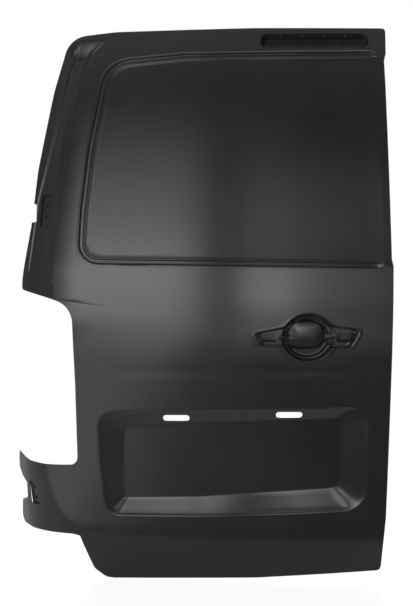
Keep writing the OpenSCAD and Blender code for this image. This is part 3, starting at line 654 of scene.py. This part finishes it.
def piece_from(bm, name, material, sharp=35):
    """Makes a finished object of a bmesh."""
    bm.normal_update()
    mark_sharp(bm, sharp)
    mesh = bpy.data.meshes.new(name)
    bm.to_mesh(mesh)
    bm.free()
    mesh.materials.append(material)
    obj = bpy.data.objects.new(name, mesh)
    bpy.context.scene.collection.objects.link(obj)
    return obj


def slot_prism(bm, centre, size, radius, y0, y1, place=None):
    """A rounded bar along y that cuts an opening."""
    w, h = size
    made = bmesh.ops.create_cube(bm, size=1.0)
    verts = made["verts"]
    for v in verts:
        v.co = Vector((v.co.x * w, y0 if v.co.y < 0 else y1, v.co.z * h))
    edges = {e for v in verts for e in v.link_edges if abs(e.verts[0].co.y - e.verts[1].co.y) > 1}
    bmesh.ops.bevel(
        bm, geom=list(edges), offset=radius, offset_type="OFFSET", segments=8, profile=0.5,
        affect="EDGES", material=-1, clamp_overlap=True,
    )
    spot = place or (lambda p: Vector((p.x + centre[0], p.y, p.z + centre[1])))
    for v in bm.verts:
        p = spot(v.co)
        v.co = to_frame(p.x, p.y, p.z)


def on_seat(seat, turn_by, tilt):
    """Placing of a hinge seat: its face is y = 0 and looks along -y."""
    origin = seat_point(seat, turn_by)

    def place(p):
        y = p.y * math.cos(tilt) - p.z * math.sin(tilt)
        z = p.y * math.sin(tilt) + p.z * math.cos(tilt)
        across = p.x * math.cos(turn_by) + y * math.sin(turn_by)
        inward = -p.x * math.sin(turn_by) + y * math.cos(turn_by)
        return Vector((across + origin[0], inward + origin[1], z + origin[2]))

    return place


def cut_openings(obj, cutters):
    """Cuts the cutters' shapes out of a piece and keeps its sharp edges."""
    for build in cutters:
        bm = bmesh.new()
        build(bm)
        bmesh.ops.remove_doubles(bm, verts=bm.verts[:], dist=1e-6)
        bmesh.ops.recalc_face_normals(bm, faces=bm.faces[:])
        mesh = bpy.data.meshes.new("cutter")
        bm.to_mesh(mesh)
        bm.free()
        tool = bpy.data.objects.new("cutter", mesh)
        bpy.context.scene.collection.objects.link(tool)
        mod = obj.modifiers.new("opening", "BOOLEAN")
        mod.operation = "DIFFERENCE"
        mod.solver = "MANIFOLD"
        mod.object = tool
        bpy.context.view_layer.update()
        cut = bpy.data.meshes.new_from_object(obj.evaluated_get(bpy.context.evaluated_depsgraph_get()))
        obj.modifiers.clear()
        old = obj.data
        obj.data = cut
        cut.name = obj.name
        bpy.data.meshes.remove(old)
        bpy.data.objects.remove(tool)
        bpy.data.meshes.remove(mesh)
    bm = bmesh.new()
    bm.from_mesh(obj.data)
    mark_sharp(bm, 35)
    bm.to_mesh(obj.data)
    bm.free()


# Finishes.
def group_socket(group, kind, name, side, default=None, low=None, high=None):
    """Adds a socket to a node group."""
    item = group.interface.new_socket(name=name, in_out=side, socket_type=kind)
    if default is not None:
        item.default_value = default
    if low is not None:
        item.min_value = low
    if high is not None:
        item.max_value = high
    return item


def dipped_primer_group():
    """Faint dust, rub marks and orange peel on dipped primer."""
    group = bpy.data.node_groups.get("Dipped primer surface")
    if group:
        return group
    group = bpy.data.node_groups.new("Dipped primer surface", "ShaderNodeTree")
    group_socket(group, "NodeSocketColor", "Primer", "INPUT", (0.03, 0.03, 0.032, 1))
    group_socket(group, "NodeSocketColor", "Dust", "INPUT", (0.2, 0.2, 0.19, 1))
    group_socket(group, "NodeSocketFloat", "Roughness", "INPUT", 0.24, 0, 1)
    group_socket(group, "NodeSocketFloat", "Dust amount", "INPUT", 0.03, 0, 1)
    group_socket(group, "NodeSocketFloat", "Peel height", "INPUT", 0.00003, 0, 0.001)
    group_socket(group, "NodeSocketColor", "Color", "OUTPUT")
    group_socket(group, "NodeSocketFloat", "Roughness", "OUTPUT")
    group_socket(group, "NodeSocketVector", "Normal", "OUTPUT")
    nodes, links = group.nodes, group.links
    into = nodes.new("NodeGroupInput")
    out = nodes.new("NodeGroupOutput")
    coord = nodes.new("ShaderNodeTexCoord")
    cloud = nodes.new("ShaderNodeTexNoise")
    cloud.inputs["Scale"].default_value = 5.0
    cloud.inputs["Detail"].default_value = 5.0
    links.new(coord.outputs["Object"], cloud.inputs["Vector"])
    patches = nodes.new("ShaderNodeMapRange")
    patches.inputs["From Min"].default_value = 0.25
    patches.inputs["From Max"].default_value = 0.85
    links.new(cloud.outputs["Fac"], patches.inputs["Value"])
    amount = nodes.new("ShaderNodeMath")
    amount.operation = "MULTIPLY"
    links.new(patches.outputs["Result"], amount.inputs[0])
    links.new(into.outputs["Dust amount"], amount.inputs[1])
    blend = nodes.new("ShaderNodeMix")
    blend.data_type = "RGBA"
    links.new(amount.outputs[0], blend.inputs["Factor"])
    links.new(into.outputs["Primer"], blend.inputs["A"])
    links.new(into.outputs["Dust"], blend.inputs["B"])
    links.new(blend.outputs["Result"], out.inputs["Color"])
    haze = nodes.new("ShaderNodeTexNoise")
    haze.inputs["Scale"].default_value = 14.0
    haze.inputs["Detail"].default_value = 6.0
    links.new(coord.outputs["Object"], haze.inputs["Vector"])
    vary = nodes.new("ShaderNodeMapRange")
    vary.inputs["To Min"].default_value = -0.03
    vary.inputs["To Max"].default_value = 0.03
    links.new(haze.outputs["Fac"], vary.inputs["Value"])
    rough = nodes.new("ShaderNodeMath")
    rough.operation = "ADD"
    rough.use_clamp = True
    links.new(into.outputs["Roughness"], rough.inputs[0])
    links.new(vary.outputs["Result"], rough.inputs[1])
    links.new(rough.outputs[0], out.inputs["Roughness"])
    peel = nodes.new("ShaderNodeTexNoise")
    peel.inputs["Scale"].default_value = 220.0
    peel.inputs["Detail"].default_value = 2.0
    links.new(coord.outputs["Object"], peel.inputs["Vector"])
    bump = nodes.new("ShaderNodeBump")
    bump.inputs["Strength"].default_value = 0.4
    links.new(into.outputs["Peel height"], bump.inputs["Distance"])
    links.new(peel.outputs["Fac"], bump.inputs["Height"])
    links.new(bump.outputs["Normal"], out.inputs["Normal"])
    return group


def primer(name, colour, roughness, dust=0.016, gloss=0.19):
    """A material of satin black dipped primer."""
    mat = bpy.data.materials.new(name)
    mat.use_nodes = True
    nodes, links = mat.node_tree.nodes, mat.node_tree.links
    shader = nodes["Principled BSDF"]
    surface = nodes.new("ShaderNodeGroup")
    surface.node_tree = dipped_primer_group()
    surface.inputs["Primer"].default_value = (*colour, 1)
    surface.inputs["Roughness"].default_value = roughness
    surface.inputs["Dust amount"].default_value = dust
    links.new(surface.outputs["Color"], shader.inputs["Base Color"])
    links.new(surface.outputs["Roughness"], shader.inputs["Roughness"])
    links.new(surface.outputs["Normal"], shader.inputs["Normal"])
    shader.inputs["Metallic"].default_value = 0.0
    shader.inputs["Specular IOR Level"].default_value = gloss
    return mat


class VanDoorSheet(bpy.types.PropertyGroup):
    """Sizes of the pressed sheets."""

    sheet_thickness: bpy.props.FloatProperty(
        name="Sheet thickness", description="Thickness of the outer sheet", default=0.0012, min=0.0006,
        max=0.002, subtype="DISTANCE", unit="LENGTH",
    )
    bead_width: bpy.props.FloatProperty(
        name="Bead width", description="Width of the groove round the window blank", default=0.0125,
        min=0.006, max=0.02, subtype="DISTANCE", unit="LENGTH",
    )
    bead_depth: bpy.props.FloatProperty(
        name="Bead depth", description="Depth of the groove round the window blank", default=0.0046,
        min=0.001, max=0.008, subtype="DISTANCE", unit="LENGTH",
    )
    recess_depth: bpy.props.FloatProperty(
        name="Plate recess depth", description="Depth of the number plate recess", default=0.026,
        min=0.01, max=0.034, subtype="DISTANCE", unit="LENGTH",
    )
    bowl_depth: bpy.props.FloatProperty(
        name="Bowl depth", description="Depth of the bowl behind the handle", default=0.03, min=0.014,
        max=0.034, subtype="DISTANCE", unit="LENGTH",
    )


class VanDoorFinish(bpy.types.PropertyGroup):
    """Colours of the primer and the stage."""

    primer_colour: bpy.props.FloatVectorProperty(
        name="Primer", description="Colour of the dipped primer", default=(0.0046, 0.0048, 0.0053),
        subtype="COLOR", size=3, min=0, max=1,
    )
    primer_roughness: bpy.props.FloatProperty(
        name="Roughness", description="Roughness of the primer", default=0.16, min=0.05, max=1,
    )
    floor_colour: bpy.props.FloatVectorProperty(
        name="Floor", description="Colour of the studio floor", default=(0.9, 0.9, 0.9), subtype="COLOR",
        size=3, min=0, max=1,
    )
    ambient_level: bpy.props.FloatProperty(
        name="Ambient light", description="Strength of the even light from all round", default=0.25,
        min=0, max=2,
    )
    light_level: bpy.props.FloatProperty(
        name="Light level", description="Strength of the studio lamps", default=1.0, min=0, max=5,
    )


class VANDOOR_OT_outer_sheet(bpy.types.Operator):
    """Press the outer sheet with its bead, bowl, recess, channel and hinge ear"""

    bl_idname = "vandoor.outer_sheet"
    bl_label = "Outer sheet"

    def execute(self, context):
        s = context.scene.vandoor_sheet
        bm = bmesh.new()
        lay_grid(bm, blank_rows(s))
        lay_grid(bm, band_rows(s))
        lay_grid(bm, plate_rows(s))
        lay_grid(bm, ear_rows(), closed=False)
        bmesh.ops.remove_doubles(bm, verts=bm.verts[:], dist=2e-5)
        bmesh.ops.recalc_face_normals(bm, faces=bm.faces[:])
        face_out(bm, Vector((0, -1, 0)))
        bmesh.ops.solidify(bm, geom=bm.faces[:], thickness=s.sheet_thickness)
        keep_inside(bm)
        obj = piece_from(bm, "outer_sheet", bpy.data.materials["Outer primer"])
        cuts = [lambda b, spec=spec: slot_prism(b, *spec) for spec in SHEET_OPENINGS]
        for size, radius, seat in SEAT_OPENINGS:
            cuts.append(
                lambda b, z=size, r=radius, seat=seat: slot_prism(b, (0, 0), z, r, -40, 20, on_seat(*seat))
            )
        cut_openings(obj, cuts)
        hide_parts("outer_skin")
        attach(obj, "root")
        return {"FINISHED"}


class VANDOOR_OT_inner_sheet(bpy.types.Operator):
    """Press the inner sheet with its flanged openings and beads"""

    bl_idname = "vandoor.inner_sheet"
    bl_label = "Inner sheet"

    def execute(self, context):
        bm = bmesh.new()
        lay_grid(bm, inner_rows(), closed=False)
        bmesh.ops.recalc_face_normals(bm, faces=bm.faces[:])
        face_out(bm, Vector((0, -1, 0)))
        bmesh.ops.solidify(bm, geom=bm.faces[:], thickness=INNER_THICKNESS)
        obj = piece_from(bm, "inner_sheet", bpy.data.materials["Inner primer"])
        specs = [(w[:2], w[2:4], w[4] - 0.2, -20, 260) for w in INNER_WINDOWS]
        specs.append(POCKET_OPENING)
        for lock in (UPPER_LOCK, LOWER_LOCK):
            specs += [((lock[0] + dx, lock[1]), (2 * r, 2 * r), r - 0.02, 40, 260) for dx, r in LOCK_HOLES]
        specs += [((STRAP[0], STRAP[1] + dz), (2 * r, 2 * r), r - 0.02, 40, 260) for dz, r in STRAP_HOLES]
        cut_openings(obj, [lambda b, spec=spec: slot_prism(b, *spec) for spec in specs])
        bm = bmesh.new()
        bm.from_mesh(obj.data)
        for window in INNER_WINDOWS:
            part = bmesh.new()
            window_flange(part, window)
            bmesh.ops.remove_doubles(part, verts=part.verts[:], dist=1e-6)
            bmesh.ops.recalc_face_normals(part, faces=part.faces[:])
            bmesh.ops.solidify(part, geom=part.faces[:], thickness=FLANGE_THICKNESS)
            mesh = bpy.data.meshes.new("flange")
            part.to_mesh(mesh)
            part.free()
            bm.from_mesh(mesh)
            bpy.data.meshes.remove(mesh)
        bm.normal_update()
        mark_sharp(bm, 35)
        bm.to_mesh(obj.data)
        bm.free()
        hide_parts("inner_panel")
        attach(obj, "root")
        return {"FINISHED"}


class VANDOOR_OT_spot_welds(bpy.types.Operator):
    """Set the spot welds along the inner sheet's flange"""

    bl_idname = "vandoor.spot_welds"
    bl_label = "Spot welds"

    def execute(self, context):
        bm = bmesh.new()
        spots = []
        for k in range(24):
            z = -640 + 1300 * k / 23
            left, right = lookup(z, INNER_LEFT), lookup(z, INNER_RIGHT)
            spots.append((left + WELD_INSET, z - hem_drop(left, z)))
            spots.append((right - WELD_INSET, z))
        spots += [(-200 + 620 * k / 11, 701) for k in range(12)]
        for x, z in spots:
            off = flange_off(x) + 1000 * INNER_THICKNESS
            normal = face_normal(x, z)
            made = bmesh.ops.create_cone(
                bm, cap_ends=True, segments=14, radius1=WELD_RADIUS, radius2=0.75 * WELD_RADIUS,
                depth=WELD_HEIGHT,
            )
            turn_to = normal.to_track_quat("Z", "Y").to_matrix()
            bmesh.ops.rotate(bm, verts=made["verts"], cent=Vector(), matrix=turn_to)
            at = Vector((x, face_y(x, z), z)) + off * normal
            bmesh.ops.translate(bm, verts=made["verts"], vec=to_frame(*at))
        bm.normal_update()
        obj = piece_from(bm, "spot_welds", bpy.data.materials["Inner primer"])
        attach(obj, "root")
        return {"FINISHED"}


class VANDOOR_OT_finishes(bpy.types.Operator):
    """Give every pressing its primer"""

    bl_idname = "vandoor.finishes"
    bl_label = "Finishes"

    def execute(self, context):
        f = context.scene.vandoor_finish
        colour = tuple(f.primer_colour)
        outer = primer("Outer primer", colour, f.primer_roughness)
        inner = primer("Inner primer", tuple(c * 1.3 for c in colour), f.primer_roughness + 0.1, dust=0.03)
        plate = primer("Plate primer", tuple(c * 0.7 for c in colour), f.primer_roughness + 0.24, dust=0.02)
        nut = primer("Nut primer", tuple(c * 1.3 for c in colour), f.primer_roughness + 0.1, dust=0.05)
        # Painted shade: the handle plate shows through the openings in the handle's wings. Its primer is
        # darkened to a fifth and its gloss dulled, so the openings look as dark as the shaded cavity behind
        # them.
        painted_shade = primer("Painted shade primer", tuple(c * 0.2 for c in colour), 0.7, dust=0.0, gloss=0.04)
        inners = {
            "inner_panel": inner, "lamp_pocket": outer, "upper_hinge_nuts": nut, "lower_hinge_nuts": nut,
            "handle_plate": painted_shade,
        }
        for name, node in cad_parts.items():
            node.data.materials.clear()
            node.data.materials.append(inners.get(name, plate))
        return {"FINISHED"}


class VANDOOR_OT_stage(bpy.types.Operator):
    """Set the floor, the studio lights and cloths, the lamps and the camera"""

    bl_idname = "vandoor.stage"
    bl_label = "Stage"

    def execute(self, context):
        f = context.scene.vandoor_finish
        low, high = CAD_BOX
        floor_z = low[2] - FLOOR_GAP
        middle = ((low[0] + high[0]) / 2, (low[1] + high[1]) / 2)
        bm = bmesh.new()
        bmesh.ops.create_circle(bm, cap_ends=True, segments=96, radius=FLOOR_RADIUS)
        bmesh.ops.translate(bm, verts=bm.verts[:], vec=Vector((middle[0], middle[1], floor_z)))
        floor = piece_from(bm, "floor", studio_floor(tuple(f.floor_colour), (*middle, floor_z)))
        context.scene.world = studio_world(f.ambient_level)
        for panel in PANELS:
            light_panel(f.light_level, False, *panel)
        for cloth in CLOTHS:
            light_panel(f.light_level, True, *cloth)
        for name, place, aim, size, power in LAMPS:
            lamp = bpy.data.lights.new(name, "AREA")
            lamp.shape = "RECTANGLE"
            lamp.size, lamp.size_y = size
            lamp.energy = power * f.light_level
            lamp.color = (0.96, 0.98, 1.0)
            obj = bpy.data.objects.new(name, lamp)
            obj.location = to_frame(*place)
            obj.rotation_euler = (to_frame(*aim) - to_frame(*place)).to_track_quat("-Z", "Y").to_euler()
            context.scene.collection.objects.link(obj)
            obj.visible_camera = False
        camera = bpy.data.cameras.new("Camera")
        camera.sensor_fit = "VERTICAL"
        camera.sensor_height = SENSOR_HEIGHT
        camera.lens = SENSOR_HEIGHT * CAMERA_DISTANCE / VIEW_HEIGHT
        camera.clip_end = 60
        eye = bpy.data.objects.new("Camera", camera)
        eye.location = to_frame(0, -CAMERA_DISTANCE, 0)
        eye.rotation_euler = (math.pi / 2, 0, 0)
        context.scene.collection.objects.link(eye)
        context.scene.camera = eye
        context.scene.view_settings.view_transform = "Standard"
        return {"FINISHED"}


# Camera: distance in front of the door and height of the view there, in millimetres.
CAMERA_DISTANCE = 2000.0
VIEW_HEIGHT = 1515.0
SENSOR_HEIGHT = 36.0
FLOOR_RADIUS = 6.0
FLOOR_GAP = 0.002

# Lamps: name, place, aim (door millimetres), size in metres, power in watts.
LAMPS = (
    ("Ceiling", (0, -500, 2900), (0, 100, 100), (3.6, 2.4), 70),
    ("Back fill", (300, 2600, 1400), (0, 100, 0), (2.4, 2.0), 160),
)

# Lights and cloths of the studio that show as light and in gloss, never to the camera. Each
# has a name, the axis that its plane stands across with its place, the two ranges of the
# plane, its brightness, and brightness shares along the two ranges. The ranges run along x
# and z on an upright plane in front of the door or behind it, x and y on the floor, and y
# and z at the side.
PANELS = (
    ("Left window", "y", -3800, (-6400, -330), (-2100, 3600), 10.0,
     ((-6400, 0.14), (-4200, 0.24), (-2900, 0.5), (-1700, 1.0), (-700, 1.05), (-430, 0.75), (-330, 0.0)),
     ((-2100, 0.5), (-1000, 0.7), (-400, 0.9), (0, 1.0), (1150, 0.9), (1400, 0.68), (1850, 0.46),
      (2350, 0.26), (2800, 0.1), (3150, 0.0), (3600, 0.0))),
    ("Middle window", "y", -3800, (-130, 520), (-900, 2900), 9.5,
     ((-130, 0.0), (60, 1.0), (400, 1.0), (520, 0.5)),
     ((-900, 0.0), (-600, 0.55), (-300, 1.05), (300, 1.0), (600, 0.18), (1000, 0.06), (1200, 0.3),
      (1800, 0.24), (2300, 0.1), (2800, 0.0), (2900, 0.0))),
    ("Right window", "y", -3800, (520, 1700), (-900, 2500), 4.5,
     ((520, 1.0), (800, 0.75), (1300, 0.5), (1700, 0.1)),
     ((-900, 0.0), (-400, 0.7), (0, 1.0), (300, 0.9), (600, 0.12), (1000, 0.06), (1300, 0.4), (1900, 0.3),
      (2500, 0.0))),
    ("Floor board", "z", -725, (-1300, 700), (-3750, -80), 7.5,
     ((-1300, 0.6), (-900, 0.75), (-620, 0.85), (-480, 0.78), (-338, 0.38), (-197, 0.18), (-80, 0.13),
      (80, 0.09), (300, 0.03), (700, 0.06)),
     ((-3750, 1.0), (-3000, 0.95), (-2400, 0.77), (-1700, 0.45), (-1350, 0.45), (-80, 0.45))),
    ("Back window", "y", 3900, (-1700, 1500), (-700, 2600), 16.0,
     ((-1700, 0.2), (-900, 1.0), (300, 0.5), (900, 0.8), (1500, 0.2)),
     ((-700, 0.3), (0, 0.8), (700, 1.0), (1700, 0.6), (2600, 0.1))),
    ("Far floor board", "z", -724, (-140, 1300), (-3750, -1900), 5.0,
     ((-140, 0.0), (60, 1.0), (300, 0.8), (800, 0.6), (1300, 0.3)),
     ((-3750, 1.0), (-3000, 0.75), (-2500, 0.45), (-1900, 0.0))),
)
CLOTHS = (
    ("Dark drape", "y", -3900, (-6600, 6600), (-1500, 3850), 0.2,
     ((-6600, 1), (6600, 1)), ((-1500, 1), (3850, 1))),
    ("Side flag", "x", -2600, (-1300, 3200), (-720, 3800), 1.0,
     ((-1300, 1.0), (-600, 0.6), (0, 0.35), (3200, 0.3)), ((-720, 1), (3800, 1))),
    ("Floor cloth", "z", -728, (-6000, 6000), (-3850, -60), 0.16,
     ((-6000, 1), (6000, 1)), ((-3850, 1), (-60, 1))),
)


def share_ramp(nodes, links, value, low, high, shares):
    """Brightness share along one direction of a window."""
    place = nodes.new("ShaderNodeMapRange")
    place.inputs["From Min"].default_value = low
    place.inputs["From Max"].default_value = high
    links.new(value, place.inputs["Value"])
    colours = nodes.new("ShaderNodeValToRGB")
    stops = colours.color_ramp.elements
    for k, (at, share) in enumerate(shares):
        position = (at - shares[0][0]) / (shares[-1][0] - shares[0][0])
        stop = stops[k] if k < 2 else stops.new(position)
        stop.position = position
        stop.color = (share, share, share, 1)
    links.new(place.outputs["Result"], colours.inputs["Fac"])
    return colours.outputs["Color"]


def light_panel(level, covers, name, axis, place, first, second, brightness, first_shares, second_shares):
    """One soft light or cloth of the studio. A light adds to what lies behind it, a cloth covers it."""
    order = {"x": (1, 2, 0), "y": (0, 2, 1), "z": (0, 1, 2)}[axis]
    bm = bmesh.new()
    made = bmesh.ops.create_grid(bm, x_segments=1, y_segments=1, size=0.5)
    for v in made["verts"]:
        at = [0.0, 0.0, 0.0]
        at[order[0]] = first[0] + (first[1] - first[0]) * (v.co.x + 0.5)
        at[order[1]] = second[0] + (second[1] - second[0]) * (v.co.y + 0.5)
        at[order[2]] = place
        v.co = to_frame(*at)
    bm.normal_update()
    mat = bpy.data.materials.new(name)
    mat.use_nodes = True
    nodes, links = mat.node_tree.nodes, mat.node_tree.links
    nodes.remove(nodes["Principled BSDF"])
    light = nodes.new("ShaderNodeEmission")
    coord = nodes.new("ShaderNodeTexCoord")
    split = nodes.new("ShaderNodeSeparateXYZ")
    links.new(coord.outputs["Object"], split.inputs["Vector"])
    ends = [[0.0, 0.0, 0.0], [0.0, 0.0, 0.0]]
    for end in (0, 1):
        ends[end][order[0]], ends[end][order[1]] = first[end], second[end]
    low, high = to_frame(*ends[0]), to_frame(*ends[1])
    both = nodes.new("ShaderNodeVectorMath")
    both.operation = "MULTIPLY"
    for slot, (k, shares) in enumerate(((order[0], first_shares), (order[1], second_shares))):
        share = share_ramp(nodes, links, split.outputs["XYZ"[k]], low[k], high[k], shares)
        links.new(share, both.inputs[slot])
    links.new(both.outputs["Vector"], light.inputs["Color"])
    light.inputs["Strength"].default_value = brightness * level
    shown = light.outputs["Emission"]
    if not covers:
        clear = nodes.new("ShaderNodeBsdfTransparent")
        added = nodes.new("ShaderNodeAddShader")
        links.new(clear.outputs["BSDF"], added.inputs[0])
        links.new(shown, added.inputs[1])
        shown = added.outputs["Shader"]
    links.new(shown, nodes["Material Output"].inputs["Surface"])
    obj = piece_from(bm, name.replace(" ", "_").lower(), mat)
    obj.visible_camera = False
    obj.visible_shadow = False
    obj.visible_diffuse = not covers
    return obj


def shown_rays(nodes, links):
    """1 for the rays that show the white background: camera, gloss and transmission."""
    path = nodes.new("ShaderNodeLightPath")
    first = nodes.new("ShaderNodeMath")
    first.operation = "MAXIMUM"
    links.new(path.outputs["Is Camera Ray"], first.inputs[0])
    links.new(path.outputs["Is Glossy Ray"], first.inputs[1])
    second = nodes.new("ShaderNodeMath")
    second.operation = "MAXIMUM"
    links.new(first.outputs[0], second.inputs[0])
    links.new(path.outputs["Is Transmission Ray"], second.inputs[1])
    return second.outputs[0]


def studio_world(level):
    """White to the camera and in gloss, and a plain grey light for all else."""
    world = bpy.data.worlds.new("Studio")
    world.use_nodes = True
    nodes, links = world.node_tree.nodes, world.node_tree.links
    back = nodes["Background"]
    back.inputs["Color"].default_value = (0.95, 0.97, 1.0, 1)
    back.inputs["Strength"].default_value = level
    white = nodes.new("ShaderNodeBackground")
    white.inputs["Color"].default_value = (1, 1, 1, 1)
    mixer = nodes.new("ShaderNodeMixShader")
    links.new(shown_rays(nodes, links), mixer.inputs["Fac"])
    links.new(back.outputs["Background"], mixer.inputs[1])
    links.new(white.outputs["Background"], mixer.inputs[2])
    links.new(mixer.outputs["Shader"], nodes["World Output"].inputs["Surface"])
    return world


def studio_floor(colour, centre):
    """White to the camera and in gloss, with the door's shadow kept."""
    mat = bpy.data.materials.new("Studio floor")
    mat.use_nodes = True
    nodes, links = mat.node_tree.nodes, mat.node_tree.links
    shader = nodes["Principled BSDF"]
    shader.inputs["Base Color"].default_value = (*colour, 1)
    shader.inputs["Roughness"].default_value = 0.9
    shader.inputs["Specular IOR Level"].default_value = 0.1
    white = nodes.new("ShaderNodeEmission")
    white.inputs["Color"].default_value = (1, 1, 1, 1)
    coord = nodes.new("ShaderNodeTexCoord")
    away = nodes.new("ShaderNodeVectorMath")
    away.operation = "DISTANCE"
    away.inputs[1].default_value = centre
    links.new(coord.outputs["Object"], away.inputs[0])
    fade = nodes.new("ShaderNodeMapRange")
    fade.inputs["From Min"].default_value = 0.5
    fade.inputs["From Max"].default_value = 1.3
    fade.inputs["To Min"].default_value = 0.86
    fade.inputs["To Max"].default_value = 1.0
    links.new(away.outputs["Value"], fade.inputs["Value"])
    share = nodes.new("ShaderNodeMath")
    share.operation = "MULTIPLY"
    links.new(fade.outputs["Result"], share.inputs[1])
    links.new(shown_rays(nodes, links), share.inputs[0])
    mixer = nodes.new("ShaderNodeMixShader")
    links.new(share.outputs[0], mixer.inputs["Fac"])
    links.new(shader.outputs["BSDF"], mixer.inputs[1])
    links.new(white.outputs["Emission"], mixer.inputs[2])
    links.new(mixer.outputs["Shader"], nodes["Material Output"].inputs["Surface"])
    return mat


class VANDOOR_PT_panel(bpy.types.Panel):
    """Sizes, finishes and steps of the door"""

    bl_label = "Van door"
    bl_idname = "VANDOOR_PT_panel"
    bl_space_type = "VIEW_3D"
    bl_region_type = "UI"
    bl_category = "Van door"

    def draw(self, context):
        layout = self.layout
        sheet, finish = context.scene.vandoor_sheet, context.scene.vandoor_finish
        for name in VanDoorSheet.__annotations__:
            layout.prop(sheet, name)
        for name in VanDoorFinish.__annotations__:
            layout.prop(finish, name)
        for step in STEPS:
            layout.operator(step.bl_idname)


STEPS = (
    VANDOOR_OT_finishes, VANDOOR_OT_outer_sheet, VANDOOR_OT_inner_sheet, VANDOOR_OT_spot_welds,
    VANDOOR_OT_stage,
)
CLASSES = (VanDoorSheet, VanDoorFinish, *STEPS, VANDOOR_PT_panel)


def register():
    for cls in CLASSES:
        bpy.utils.register_class(cls)
    bpy.types.Scene.vandoor_sheet = bpy.props.PointerProperty(type=VanDoorSheet)
    bpy.types.Scene.vandoor_finish = bpy.props.PointerProperty(type=VanDoorFinish)


def unregister():
    del bpy.types.Scene.vandoor_finish
    del bpy.types.Scene.vandoor_sheet
    for cls in reversed(CLASSES):
        bpy.utils.unregister_class(cls)


def main():
    """Builds the pieces and the stage."""
    register()
    for step in STEPS:
        group, name = step.bl_idname.split(".")
        getattr(getattr(bpy.ops, group), name)()


if __name__ == "__main__":
    main()
